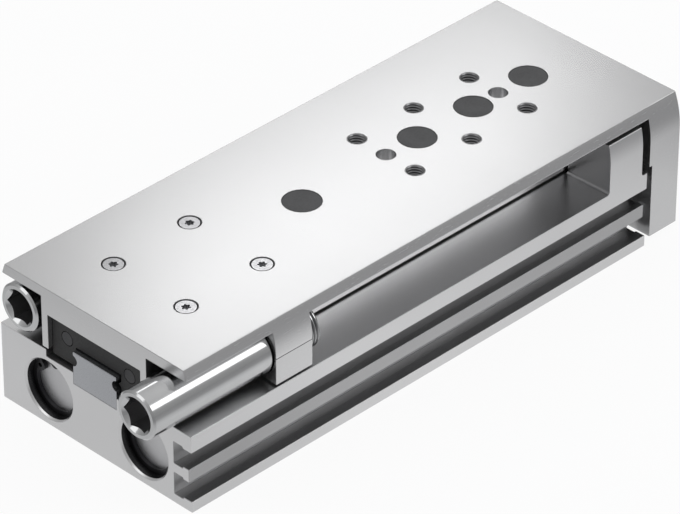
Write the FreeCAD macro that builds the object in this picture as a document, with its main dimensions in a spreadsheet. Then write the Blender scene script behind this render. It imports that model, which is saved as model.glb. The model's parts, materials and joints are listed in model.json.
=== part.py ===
import FreeCAD, Part
import math
import os
import Sketcher
from FreeCAD import Rotation, Vector

# Pneumatic slide table: a flat aluminium slide driven by two pistons side by side.
# X runs along the stroke, towards the yoke. Y is across, with the sensor slots at -Y. Z is up.
# The origin is the centre of the housing's mounting face.

document = FreeCAD.newDocument("SlideTable")
sheet = document.addObject("Spreadsheet::Sheet", "Sizes")


class Size:
    """A length that carries its value and the sheet expression that gives it."""

    def __init__(self, value, text):
        self.value = float(value)
        self.text = text

    def _join(self, other, sign, value):
        return Size(value, "(" + self.text + " " + sign + " " + as_size(other).text + ")")

    def __add__(self, other):
        return self._join(other, "+", self.value + as_size(other).value)

    def __sub__(self, other):
        return self._join(other, "-", self.value - as_size(other).value)

    def __mul__(self, other):
        return self._join(other, "*", self.value * as_size(other).value)

    def __truediv__(self, other):
        return self._join(other, "/", self.value / as_size(other).value)

    def __neg__(self):
        return Size(-self.value, "(0 - " + self.text + ")")

    def root(self):
        """Square root of this size."""
        return Size(math.sqrt(self.value), "sqrt" + "(" + self.text + ")")


def as_size(number):
    """Give a plain number the same form as a size from the sheet."""
    return number if isinstance(number, Size) else Size(number, repr(float(number)))


rows = [0]


def size(alias, value, meaning):
    """Enter a driving dimension in the sheet."""
    rows[0] += 1
    row = str(rows[0])
    sheet.set("A" + row, meaning)
    sheet.set("B" + row, str(value))
    sheet.setAlias("B" + row, alias)
    return Size(value, "Sizes." + alias)


# Stroke and the row of stops that sets the length
stroke = size("stroke", 100, "travel of the slide")
lug_length = size("lug_length", 12, "length of each stop lug along X")
advance_lug_front = size("advance_lug_front", 28, "front of the slide's right lug")
stop_projection = size("stop_projection", 4, "advance stop proud of its lug at the back")
housing_tail = size("housing_tail", 2, "housing behind its rear lug")
stop_touch = size("stop_touch", 0.05, "gap left between a stop and the lug that it meets")

# Housing
housing_width = size("housing_width", 66, "width of the housing")
bore = size("bore", 16, "piston bore")
bore_floor = size("bore_floor", 2.3, "wall under the bores")
bore_roof = size("bore_roof", 1.7, "wall between the bores and the recess")
bore_wall = size("bore_wall", 2.5, "wall between a bore and the sensor slots")
ledge_step = size("ledge_step", 2, "housing's top above its recess")
recess_play = size("recess_play", 1.1, "recess to the side of the carriage")
rail_sunk = size("rail_sunk", 3.2, "rail's seat below the recess")
rail_play = size("rail_play", 0.03, "rail to the side of its seat")
slot_opening = size("slot_opening", 5.2, "mouth of a sensor slot")
slot_inside = size("slot_inside", 6.2, "inside height of a sensor slot")
slot_depth = size("slot_depth", 6, "depth of a sensor slot")
slot_lip = size("slot_lip", 3, "thickness of a sensor slot's lips")
slot_low = size("slot_low", 5.7, "centre of the lower sensor slot")
slot_pitch = size("slot_pitch", 8.95, "upper sensor slot above the lower")
rib_setback = size("rib_setback", 0.9, "rib between the slots, behind the side")
lug_under = size("lug_under", 0.9, "housing's lugs below the wings")
lug_foot = size("lug_foot", 0.8, "fillet at the foot of the housing's lugs")
retract_lug_front = size("retract_lug_front", 12, "front of the housing's left lug")
skirt_play = size("skirt_play", 0.6, "housing's lugs to the slide's skirts")

# Caps, rod guides and retaining rings
mouth_chamfer = size("mouth_chamfer", 0.6, "chamfer at the bores' mouths")
ring_inset = size("ring_inset", 2.4, "retaining ring from the housing's face")
ring_thick = size("ring_thick", 1, "thickness of a retaining ring")
ring_bite = size("ring_bite", 0.35, "retaining ring into its groove")
ring_width = size("ring_width", 1.2, "radial width of a retaining ring inside the bore")
ring_play = size("ring_play", 0.05, "retaining ring to its groove and its cap")
ring_gap = size("ring_gap", 3.4, "gap between a retaining ring's ends")
ring_turn = size("ring_turn", -30, "turn of a retaining ring's gap from the top, in degrees")
ear_radius = size("ear_radius", 1.5, "radius of a retaining ring's ear")
ear_hole = size("ear_hole", 0.6, "radius of the hole in an ear")
ear_spread = size("ear_spread", 3, "ears to each side of the gap's middle")
cap_thick = size("cap_thick", 5, "thickness of an end cap")
cap_play = size("cap_play", 0.03, "cap or rod guide to the bore")
guide_thick = size("guide_thick", 13, "length of a rod guide")
seal_cord = size("seal_cord", 1.5, "thickness of an O-ring")
seal_play = size("seal_play", 0.02, "standing seal to what it sits in")
guide_seal_at = size("guide_seal_at", 1.5, "O-ring from the rod guide's inner face")
lip_seal_long = size("lip_seal_long", 3, "length of a rod seal")
lip_seal_deep = size("lip_seal_deep", 1.9, "radial depth of a rod seal")
lip_seal_inset = size("lip_seal_inset", 2, "rod seal from the guide's outer face")

# Pistons and rods
piston_front = size("piston_front", 12, "front of a piston at rest")
piston_long = size("piston_long", 18, "length of a piston")
piston_play = size("piston_play", 0.06, "piston to the bore")
running_play = size("running_play", 0.04, "running seals and wear rings to the bore")
piston_seal_at = size("piston_seal_at", 2.5, "piston seal from the piston's front")
piston_seal_long = size("piston_seal_long", 2.4, "width of a piston seal")
magnet_at = size("magnet_at", 7, "magnet from the piston's front")
magnet_long = size("magnet_long", 4, "width of the magnet")
wear_at = size("wear_at", 13, "wear ring from the piston's front")
wear_long = size("wear_long", 3, "width of a wear ring")
piston_groove = size("piston_groove", 1.7, "depth of the grooves in a piston")
wear_groove = size("wear_groove", 0.8, "depth of the wear ring's groove")
rod = size("rod", 8, "piston rod")
spigot = size("spigot", 5, "rod's spigot in the piston")
rod_play = size("rod_play", 0.04, "rod to its guide and seal")
rod_tap_spare = size("rod_tap_spare", 3, "thread in the rod beyond its screw")

# Slide
plate_thick = size("plate_thick", 7.55, "slide over its carriage")
side_inset = size("side_inset", 0.2, "slide inside the housing's sides")
lean_drop = size("lean_drop", 10, "sides start to lean in, below the top")
lean_radius = size("lean_radius", 25, "radius of the leaning sides")
wing_thick = size("wing_thick", 3, "thickness of the slide's wings")
skirt_wall = size("skirt_wall", 2.1, "wall on each side of the carriage")
table_gap = size("table_gap", 0.55, "slide above the housing's top")
yoke_gap = size("yoke_gap", 2, "yoke behind the housing")
yoke_thick = size("yoke_thick", 10, "thickness of the yoke")
yoke_bottom = size("yoke_bottom", 1.7, "height of the yoke's lower edge")
yoke_step = size("yoke_step", 1, "upper part of the yoke forward of the lower")
yoke_step_rise = size("yoke_step_rise", 1.1, "that step above the housing's top")

# Stops
stop_edge = size("stop_edge", 7.1, "stops' axes from the sides of the slide's lugs")
stop_clear = size("stop_clear", 1.1, "stops' threads to the slide's skirts")
stop_drop = size("stop_drop", 10.2, "stops' axes below the top")
sleeve = size("sleeve", 12.8, "polished part of a stop sleeve")
sleeve_thread = size("sleeve_thread", 13, "threaded part of a stop sleeve")
thread_lead = size("thread_lead", 2, "thread in front of the lug that holds it")
retract_travel = size("retract_travel", 10, "travel of the retract stop in its thread")
thread_pitch = size("thread_pitch", 1, "pitch of the stops' thread")
thread_deep = size("thread_deep", 0.45, "depth of that thread")
thread_play = size("thread_play", 0.05, "threads to their tapped holes")
sleeve_long = size("sleeve_long", 53.8, "length of a stop sleeve")
sleeve_chamfer = size("sleeve_chamfer", 0.5, "chamfer at a sleeve's front")
socket_flats = size("socket_flats", 8, "hex socket across its flats")
socket_deep = size("socket_deep", 9, "depth of that socket")
buffer_round = size("buffer_round", 8, "elastomer buffer")
buffer_long = size("buffer_long", 6, "length of a buffer in its sleeve")
buffer_proud = size("buffer_proud", 0.6, "buffer proud of its sleeve")
retract_stop_front = size("retract_stop_front", -0.4, "front of the retract stop")

# Linear guide
rail_width = size("rail_width", 15, "rail")
rail_height = size("rail_height", 9.25, "height of the rail")
race_height = size("race_height", 6.7, "ball tracks above the rail's seat")
race_offset = size("race_offset", 0.1, "ball tracks' centre outside the rail's side")
ball = size("ball", 2.8, "guide balls")
ball_play = size("ball_play", 0.06, "ball to its track")
ball_pitch = size("ball_pitch", 3, "distance from ball to ball")
return_at = size("return_at", 12, "balls' return path from the middle")
carriage_front = size("carriage_front", 1.45, "front of the carriage at rest")
end_plate = size("end_plate", 7.7, "length of a carriage end plate with its seal")
seal_plate = size("seal_plate", 1, "thickness of a carriage end seal")
block_long = size("block_long", 43.4, "length of the steel carriage block")
block_width = size("block_width", 31.8, "width of the carriage")
block_lift = size("block_lift", 0.8, "carriage above the recess")
block_play = size("block_play", 0.1, "carriage to the slide's skirts")
tunnel_play = size("tunnel_play", 0.7, "carriage to the rail, outside the tracks")
seal_lip_play = size("seal_lip_play", 0.35, "end seal to the rail")
plate_nose = size("plate_nose", 0.5, "end plate's reach towards the ball tracks")
seal_nose = size("seal_nose", 0.85, "end seal's reach into the ball tracks")
nose_half = size("nose_half", 0.9, "half height of that reach")
guide_height = size("guide_height", 15.65, "rail's seat to the top of the carriage")
carriage_bolts = size("carriage_bolts", 25, "square of screws in the carriage")
plate_screw = size("plate_screw", 2, "M2 screws of the end plates")
plate_screw_head = size("plate_screw_head", 3.6, "head of those screws")
plate_screw_side = size("plate_screw_side", 10.8, "those screws from the middle")
plate_screw_drop = size("plate_screw_drop", 5, "those screws below the carriage's top")
plate_screw_grip = size("plate_screw_grip", 5, "those screws in the block")

# Fasteners
screw_play = size("screw_play", 0.2, "screw to a plain hole")
tap_spare = size("tap_spare", 1, "tapped hole beyond its screw")
small_screw = size("small_screw", 3, "M3 screws")
small_head = size("small_head", 5.6, "countersunk head of the carriage screws")
small_sink = size("small_sink", 6, "countersink for that head")
sink_play = size("sink_play", 0.05, "countersunk head above its full seat")
small_grip = size("small_grip", 3, "carriage screw in the block")
small_socket = size("small_socket", 2, "socket of a carriage screw across its flats")
small_socket_deep = size("small_socket_deep", 1.2, "depth of that socket")
rail_pitch = size("rail_pitch", 40, "pitch of the rail's screws")
rail_first = size("rail_first", 29, "first rail screw from the housing's front")
rail_head = size("rail_head", 5.5, "head of a rail screw")
rail_head_high = size("rail_head_high", 3, "height of that head")
rail_sink = size("rail_sink", 6, "counterbore in the rail")
rail_sink_deep = size("rail_sink_deep", 4.5, "depth of that counterbore")
rail_grip = size("rail_grip", 7, "rail screw in the housing")
yoke_screw = size("yoke_screw", 4, "M4 screws that hold the rods")
yoke_head = size("yoke_head", 7, "head of a yoke screw")
yoke_head_high = size("yoke_head_high", 4, "height of that head")
yoke_sink = size("yoke_sink", 7.5, "counterbore in the yoke")
yoke_sink_deep = size("yoke_sink_deep", 4.4, "depth of that counterbore")
yoke_grip = size("yoke_grip", 9, "yoke screw in the rod")
key_small = size("key_small", 2.5, "hex key of the rail screws")
key_large = size("key_large", 3, "hex key of the yoke screws")
key_deep = size("key_deep", 1.6, "depth of those keys' sockets")

# Mounting holes and ports
table_thread = size("table_thread", 5, "M5 threads in the slide, yoke and base")
thread_row = size("thread_row", 20, "grid of the slide's threads")
thread_rear = size("thread_rear", 32, "last threads of the slide from its rear")
thread_count = size("thread_count", 3, "rows of threads along the slide")
pin_hole = size("pin_hole", 5, "centring holes")
pin_deep = size("pin_deep", 3, "depth of a centring hole")
access_hole = size("access_hole", 10, "access holes over the rail's screws")
plug_play = size("plug_play", 0.02, "plug to its access hole")
plug_inset = size("plug_inset", 0.15, "plug below the slide's top")
plug_deep = size("plug_deep", 4, "depth of a plug")
plug_wall = size("plug_wall", 0.8, "wall and top of a plug")
port_thread = size("port_thread", 5, "M5 air ports")
port_deep = size("port_deep", 6, "depth of a port's thread")
port_channel = size("port_channel", 3, "air channel")
port_gap = size("port_gap", 1.95, "front port's axis behind its cap")
port_rear_gap = size("port_rear_gap", 5.5, "rear port's axis in front of the rod guides")
base_first = size("base_first", 19, "first thread in the base")
base_pitch = size("base_pitch", 40, "pitch of the base's threads")
base_deep = size("base_deep", 7.5, "depth of the base's threads")
base_pin_first = size("base_pin_first", 39, "first centring hole in the base")
base_pin_pitch = size("base_pin_pitch", 80, "pitch of the base's centring holes")
yoke_thread_wide = size("yoke_thread_wide", 40, "yoke threads across")
yoke_thread_high = size("yoke_thread_high", 12, "yoke threads up")
yoke_thread_drop = size("yoke_thread_drop", 9, "yoke's upper threads below the top")
yoke_thread_deep = size("yoke_thread_deep", 8, "depth of the yoke's threads")
document.recompute()

# Places along X, worked out from the driving dimensions
advance_lug_rear = advance_lug_front + lug_length
advance_stop_rear = advance_lug_rear + stop_projection
rear_lug_front = advance_stop_rear + stroke
housing_length = rear_lug_front + lug_length + housing_tail
front = -(housing_length / 2)
yoke_front = housing_length + yoke_gap
plate_end = yoke_front - yoke_step
slide_length = yoke_front + yoke_thick
advance_stop_front = advance_stop_rear - stop_touch - buffer_proud - sleeve_long
retract_slide_lug = retract_stop_front + sleeve_long + buffer_proud + stop_touch
block_front = carriage_front + end_plate
block_rear = block_front + block_long
carriage_rear = block_rear + end_plate
cap_front = ring_inset + ring_thick + ring_play
cap_rear = cap_front + cap_thick
rear_ring_front = housing_length - ring_inset - ring_thick
guide_rear = rear_ring_front - ring_play
guide_front = guide_rear - guide_thick

# Places across
half_housing = housing_width / 2
half_side = half_housing - side_inset
bore_radius = bore / 2
half_core = half_housing - slot_depth
bore_side = half_core - bore_wall - bore_radius
half_block = block_width / 2
half_pocket = half_block + block_play
half_recess = half_block + recess_play
skirt_outer = half_pocket + skirt_wall
lug_inner = skirt_outer + skirt_play
stop_side = skirt_outer + stop_clear + sleeve_thread / 2
slide_lug_side = stop_side + stop_edge
housing_lug_side = slide_lug_side + side_inset
race_y = rail_width / 2 + race_offset
half_tunnel = rail_width / 2 + tunnel_play

# Heights
bore_height = bore_floor + bore_radius
recess_floor = bore_height + bore_radius + bore_roof
ledge_height = recess_floor + ledge_step
rail_seat = recess_floor - rail_sunk
rail_top = rail_seat + rail_height
race_z = rail_seat + race_height
race_radius = ball / 2 + ball_play
block_bottom = recess_floor + block_lift
block_top = rail_seat + guide_height
tunnel_top = rail_top + tunnel_play
table_height = block_top + plate_thick
table_bottom = ledge_height + table_gap
step_height = ledge_height + yoke_step_rise
lean_start = table_height - lean_drop
wing_bottom = table_height - wing_thick
lug_height = wing_bottom - lug_under
stop_height = table_height - stop_drop

SIDES = {"left": 1, "right": -1}
rail_holes = [rail_first + rail_pitch * i for i in range(
    int(((housing_length - rail_first - rail_sink) / rail_pitch).value) + 1)]
base_holes = [base_first + base_pitch * i for i in range(
    int(((housing_length - base_first - table_thread) / base_pitch).value) + 1)]
block_middle = block_front + block_long / 2
port_places = (cap_rear + port_gap, guide_front - port_rear_gap)
access_holes = rail_holes[1:] + [(rail_holes[-1] + rail_holes[-2]) / 2]
carriage_bolt_places = [(block_middle + carriage_bolts / 2 * end, carriage_bolts / 2 * sign)
                        for end in (-1, 1) for sign in SIDES.values()]


def lean(height, outer):
    """Half width at a height, of a side that is upright up to lean_start and then leans in."""
    rise = height - lean_start
    return outer - lean_radius + (lean_radius * lean_radius - rise * rise).root()


def bind(feature, prop, value):
    """Tie a property to the sheet."""
    feature.setExpression(prop, as_size(value).text)


def new_body(name, y=0, z=0):
    """A body whose own x = 0 is the housing's front face."""
    body = document.addObject("PartDesign::Body", name)
    body.Label = name
    for axis, value in (("x", front), ("y", y), ("z", z)):
        bind(body, "Placement.Base." + axis, value)
    return body


def plane(body, role):
    """The body's own origin plane with this role."""
    return [item for item in body.Origin.OriginFeatures if item.Role == role][0]


def new_sketch(body, role, shift=(0, 0, 0)):
    """A sketch on an origin plane, moved by shift in the plane's own directions."""
    sketch = body.newObject("Sketcher::SketchObject", body.Name + "_sketch")
    sketch.AttachmentSupport = [(plane(body, role), "")]
    sketch.MapMode = "FlatFace"
    for axis, value in zip("xyz", shift):
        bind(sketch, "AttachmentOffset.Base." + axis, value)
    return sketch


def pin_point(sketch, element, end, point):
    """Hold one point of a sketch at sizes from the sheet."""
    for kind, value in zip(("DistanceX", "DistanceY"), point):
        value = as_size(value)
        sketch.addConstraint(Sketcher.Constraint(kind, -1, 1, element, end, value.value))
        sketch.setExpression("Constraints[%d]" % (sketch.ConstraintCount - 1), value.text)


def pin_radius(sketch, element, radius):
    """Hold the radius of a circle or an arc."""
    radius = as_size(radius)
    sketch.addConstraint(Sketcher.Constraint("Radius", element, radius.value))
    sketch.setExpression("Constraints[%d]" % (sketch.ConstraintCount - 1), radius.text)


def arc_between(start, end, radius):
    """Arc from start to end: its centre is on the left of the way for a positive radius."""
    chord = end - start
    middle = (start + end) * 0.5
    height = math.sqrt(max(radius * radius - chord.Length * chord.Length / 4, 0))
    normal = Vector(-chord.y, chord.x, 0).normalize() * math.copysign(height, radius)
    centre = middle + normal
    first, last = (start, end) if radius > 0 else (end, start)
    angles = [math.atan2(p.y - centre.y, p.x - centre.x) for p in (first, last)]
    circle = Part.Circle(centre, Vector(0, 0, 1), abs(radius))
    return Part.ArcOfCircle(circle, angles[0], angles[1])


def outline(sketch, points):
    """Closed outline. A point is (u, v), or (u, v, radius) where the edge to it is an arc."""
    places = [Vector(as_size(p[0]).value, as_size(p[1]).value, 0) for p in points]
    first = sketch.GeometryCount
    ends = []
    for index, point in enumerate(points):
        start, end = places[index - 1], places[index]
        if len(point) == 3:
            radius = as_size(point[2])
            sketch.addGeometry(arc_between(start, end, radius.value), False)
            ends.append((1, 2) if radius.value > 0 else (2, 1))
        else:
            sketch.addGeometry(Part.LineSegment(start, end), False)
            ends.append((1, 2))
    for index, point in enumerate(points):
        element, following = first + index, first + (index + 1) % len(points)
        joint = Sketcher.Constraint(
            "Coincident", element, ends[index][1], following, ends[(index + 1) % len(points)][0])
        sketch.addConstraint(joint)
        pin_point(sketch, element, ends[index][1], point[:2])
        if len(point) == 3:
            radius = as_size(point[2])
            pin_radius(sketch, element, radius if radius.value > 0 else -radius)


def rings(sketch, circles):
    """Circles given as (u, v, radius)."""
    for u, v, radius in circles:
        u, v, radius = as_size(u), as_size(v), as_size(radius)
        circle = Part.Circle(Vector(u.value, v.value, 0), Vector(0, 0, 1), radius.value)
        element = sketch.addGeometry(circle, False)
        pin_point(sketch, element, 3, (u, v))
        pin_radius(sketch, element, radius)


def hexagon(flats, u=0, v=0):
    """Corners of a hexagon with two corners up and down, from its width across the flats."""
    half = flats / 2
    corner = flats * (1 / math.sqrt(3))
    turns = ((0, 2), (1, 1), (1, -1), (0, -2), (-1, -1), (-1, 1))
    return [(half * a + u, corner * b * 0.5 + v) for a, b in turns]


def extrude(kind, sketch, length, reverse=False):
    """Pad or pocket of a sketch; reverse turns it to the other side of its plane."""
    body = sketch.getParentGeoFeatureGroup()
    before = body.Shape.Volume if body.Tip else 0
    feature = body.newObject("PartDesign::" + kind, body.Name + "_" + kind.lower())
    feature.Profile = sketch
    feature.Reversed = reverse
    feature.Refine = True
    bind(feature, "Length", length)
    document.recompute()
    changed = abs(body.Shape.Volume - before)
    if changed < 1e-6:
        raise RuntimeError(feature.Name + " changes nothing")
    return feature


def revolve(kind, sketch, axis="H_Axis"):
    """Revolution or groove of a sketch about one of its own axes."""
    body = sketch.getParentGeoFeatureGroup()
    feature = body.newObject("PartDesign::" + kind, body.Name + "_" + kind.lower())
    feature.Profile = sketch
    feature.ReferenceAxis = (sketch, [axis])
    feature.Angle = 360
    document.recompute()
    return feature


def turned(name, y, z, points):
    """A turned piece about an axis along X, from (x, radius) points."""
    body = new_body(name, y, z)
    sketch = new_sketch(body, "XZ_Plane")
    outline(sketch, points)
    revolve("Revolution", sketch)
    return body


def dress(body, kind, prop, value, names):
    """Fillet or chamfer some edges of the body's last feature."""
    base = body.Tip
    feature = body.newObject("PartDesign::" + kind, body.Name + "_" + kind.lower())
    feature.Base = (base, names)
    bind(feature, prop, value)
    document.recompute()
    return feature


def edges_where(body, test):
    """Names of the edges of the body's last feature that a test picks."""
    return ["Edge%d" % (i + 1) for i, edge in enumerate(body.Tip.Shape.Edges) if test(edge)]


def group(name, members):
    """Identical pieces kept together under one name."""
    compound = document.addObject("Part::Compound", name)
    compound.Label = name
    compound.Links = members
    return compound


def near(value, target):
    """Whether two lengths are the same place."""
    return abs(value - as_size(target).value) < 1e-4


def bar(name, points, start=0, long=None):
    """A straight piece along X with a section in the YZ plane."""
    body = new_body(name)
    sketch = new_sketch(body, "YZ_Plane", (0, 0, start))
    outline(sketch, points)
    extrude("Pad", sketch, housing_length if long is None else long)
    return body


def mirrored(points, sign):
    """The same outline on the side that sign gives."""
    return [(as_size(y) * sign, z, *[radius * sign for radius in rest]) for y, z, *rest in points]


def make_housing():
    """Core of the housing: two bores, the rail's seat, and the threads and pins underneath."""
    half_seat = rail_width / 2 + rail_play
    body = bar("housing", [
        (-half_core, 0), (half_core, 0), (half_core, recess_floor), (half_seat, recess_floor),
        (half_seat, rail_seat), (-half_seat, rail_seat), (-half_seat, recess_floor),
        (-half_core, recess_floor)])
    cut_bores(body)

    sketch = new_sketch(body, "XY_Plane")
    rings(sketch, [(x, 0, table_thread / 2) for x in base_holes])
    extrude("Pocket", sketch, base_deep, True)
    sketch = new_sketch(body, "XY_Plane")
    rings(sketch, [(base_pin_first + base_pin_pitch * i, 0, pin_hole / 2) for i in range(2)])
    extrude("Pocket", sketch, pin_deep, True)
    sketch = new_sketch(body, "XY_Plane", (0, 0, rail_seat))
    rings(sketch, [(x, 0, small_screw / 2 + thread_play) for x in rail_holes])
    extrude("Pocket", sketch, rail_grip + tap_spare)
    return body


def bore_ports(pieces):
    """Air ports from the left side: a thread, then a channel to the far bore, through each
    (body, outer face, inner face)."""
    for body, outer, inner in pieces:
        thread_left = port_deep - (half_housing - outer)
        cuts = [(port_thread / 2, thread_left)] if thread_left.value > 1e-6 else []
        if (half_housing - port_deep - inner).value > 1e-6:
            cuts.append((port_channel / 2, outer + bore_side))
        for radius, depth in cuts:
            sketch = new_sketch(body, "XZ_Plane", (0, 0, -outer))
            rings(sketch, [(x, bore_height, radius) for x in port_places])
            extrude("Pocket", sketch, depth, True)


def make_housing_sides(core):
    """Port side, ledges beside the recess, and the three bars that leave the sensor slots open."""
    body = bar("housing_port_side", [
        (half_core, 0), (half_housing, 0), (half_housing, ledge_height), (half_core, ledge_height)])
    bore_ports(((body, half_housing, half_core), (core, half_core, -half_core)))
    for side, sign in SIDES.items():
        bar("housing_ledge_" + side, mirrored([
            (half_recess, recess_floor), (half_core, recess_floor), (half_core, ledge_height),
            (half_recess, ledge_height)], sign))

    rib, lip = rib_setback - half_housing, slot_lip - half_housing
    slot_high = slot_low + slot_pitch
    inside, mouth = slot_inside / 2, slot_opening / 2
    bar("housing_slot_lower", [
        (-half_core, 0), (-half_core, slot_low - inside), (lip, slot_low - inside),
        (lip, slot_low - mouth), (-half_housing, slot_low - mouth), (-half_housing, 0)])
    bar("housing_slot_rib", [
        (-half_core, slot_low + inside), (-half_core, slot_high - inside), (lip, slot_high - inside),
        (lip, slot_high - mouth), (rib, slot_high - mouth), (rib, slot_low + mouth),
        (lip, slot_low + mouth), (lip, slot_low + inside)])
    bar("housing_slot_upper", [
        (-half_core, slot_high + inside), (-half_core, ledge_height), (-half_housing, ledge_height),
        (-half_housing, slot_high + mouth), (lip, slot_high + mouth), (lip, slot_high + inside)])


def make_housing_lugs():
    """Right lug at the rear and left lug in front, each with a hollow fillet round its foot."""
    crown = lean(lug_height, housing_lug_side)
    foot_top = ledge_height + lug_foot
    for side, lug_front in (("right", rear_lug_front), ("left", retract_lug_front)):
        sign, lug_rear = SIDES[side], lug_front + lug_length
        body = bar("housing_lug_" + side, mirrored([
            (housing_lug_side, ledge_height), (housing_lug_side, lean_start),
            (crown, lug_height, lean_radius), (lug_inner, lug_height), (lug_inner, ledge_height)],
            sign), lug_front, lug_length)
        sketch = new_sketch(body, "YZ_Plane", (0, 0, lug_front - lug_foot))
        outline(sketch, mirrored([
            (housing_lug_side, ledge_height), (housing_lug_side, foot_top), (lug_inner, foot_top),
            (lug_inner, ledge_height)], sign))
        extrude("Pad", sketch, lug_length + lug_foot * 2)
        across = -housing_lug_side if sign > 0 else lug_inner
        sketch = new_sketch(body, "XZ_Plane", (0, 0, across))
        rings(sketch, [(x, foot_top, lug_foot) for x in (lug_front - lug_foot, lug_rear + lug_foot)])
        extrude("Pocket", sketch, housing_lug_side - lug_inner, True)
        if side == "left":
            sketch = new_sketch(body, "YZ_Plane", (0, 0, lug_front))
            rings(sketch, [(stop_side, stop_height, sleeve_thread / 2 + thread_play)])
            extrude("Pocket", sketch, lug_length, True)


def cut_bores(body):
    """Two bores right through, chamfered, with a groove for a retaining ring at each end."""
    sketch = new_sketch(body, "YZ_Plane")
    rings(sketch, [(bore_side * sign, bore_height, bore_radius) for sign in SIDES.values()])
    extrude("Pocket", sketch, housing_length, True)
    mouths = edges_where(body, lambda edge: (
        edge.Curve.TypeId == "Part::GeomCircle" and near(edge.Curve.Radius, bore_radius)))
    dress(body, "Chamfer", "Size", mouth_chamfer, mouths)
    depth = bore_radius + ring_bite + ring_play
    for sign in SIDES.values():
        sketch = new_sketch(body, "XZ_Plane", (0, bore_height, -bore_side * sign))
        for start in (ring_inset, rear_ring_front):
            outline(sketch, [
                (start, bore_radius - ring_width), (start + ring_thick, bore_radius - ring_width),
                (start + ring_thick, depth), (start, depth)])
        revolve("Groove", sketch)


def make_rail():
    """Hardened rail with a ball track on each side and counterbored holes."""
    body = new_body("guide_rail")
    half = rail_width / 2
    chord = (race_radius * race_radius - race_offset * race_offset).root()
    right = [(half, rail_seat), (half, race_z - chord), (half, race_z + chord, -race_radius),
             (half, rail_top)]
    left = [(-half, rail_top), (-half, race_z + chord), (-half, race_z - chord, -race_radius),
            (-half, rail_seat)]
    sketch = new_sketch(body, "YZ_Plane")
    outline(sketch, right + left)
    extrude("Pad", sketch, housing_length)
    for radius, depth in ((rail_sink / 2, rail_sink_deep), (small_screw / 2 + screw_play, rail_height)):
        sketch = new_sketch(body, "XY_Plane", (0, 0, rail_top))
        rings(sketch, [(x, 0, radius) for x in rail_holes])
        extrude("Pocket", sketch, depth)


def make_rail_screws():
    """Cap screws that hold the rail down."""
    seat = rail_top - rail_sink_deep
    members = []
    for x in rail_holes:
        body = new_body("rail_screw")
        sketch = new_sketch(body, "XY_Plane", (0, 0, seat))
        rings(sketch, [(x, 0, rail_head / 2)])
        extrude("Pad", sketch, rail_head_high)
        sketch = new_sketch(body, "XY_Plane", (0, 0, seat))
        rings(sketch, [(x, 0, small_screw / 2)])
        extrude("Pad", sketch, seat - rail_seat + rail_grip, True)
        sketch = new_sketch(body, "XY_Plane", (0, 0, seat + rail_head_high))
        outline(sketch, hexagon(key_small, x))
        extrude("Pocket", sketch, key_deep)
        members.append(body)
    group("rail_screws", members)


def carriage_outline(inner, roof, flank):
    """Carriage section round the rail; flank holds the points of its right inner side, downwards."""
    left = [(-y, z, *radius) for y, z, *radius in reversed(flank)]
    return ([(half_block, block_bottom), (half_block, block_top), (-half_block, block_top),
             (-half_block, block_bottom), (-inner, block_bottom)] + left
            + [(-inner, roof), (inner, roof)] + flank + [(inner, block_bottom)])


def make_carriage():
    """Steel block and the two end plates with their seals and screws."""
    offset = half_tunnel - race_y
    chord = (race_radius * race_radius - offset * offset).root()
    body = new_body("carriage_block")
    sketch = new_sketch(body, "YZ_Plane", (0, 0, block_front))
    outline(sketch, [
        (half_block, block_bottom), (half_block, block_top), (-half_block, block_top),
        (-half_block, block_bottom), (-half_tunnel, block_bottom), (-half_tunnel, race_z - chord),
        (-half_tunnel, race_z + chord, -race_radius), (-half_tunnel, tunnel_top),
        (half_tunnel, tunnel_top), (half_tunnel, race_z + chord),
        (half_tunnel, race_z - chord, -race_radius), (half_tunnel, block_bottom)])
    extrude("Pad", sketch, block_long)
    sketch = new_sketch(body, "YZ_Plane", (0, 0, block_front))
    rings(sketch, [(return_at * sign, race_z, race_radius) for sign in SIDES.values()])
    extrude("Pocket", sketch, block_long, True)
    sketch = new_sketch(body, "XY_Plane", (0, 0, block_top))
    rings(sketch, [(x, y, small_screw / 2 + thread_play) for x, y in carriage_bolt_places])
    extrude("Pocket", sketch, small_grip + tap_spare)
    screw_z = block_top - plate_screw_drop
    screws = [(plate_screw_side * sign, screw_z) for sign in SIDES.values()]
    grip = plate_screw_grip + tap_spare
    for start, inwards in ((block_front, True), (block_rear, False)):
        sketch = new_sketch(body, "YZ_Plane", (0, 0, start))
        rings(sketch, [(y, z, plate_screw / 2 + thread_play) for y, z in screws])
        extrude("Pocket", sketch, grip, inwards)
    make_end_plates(screws)


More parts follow.
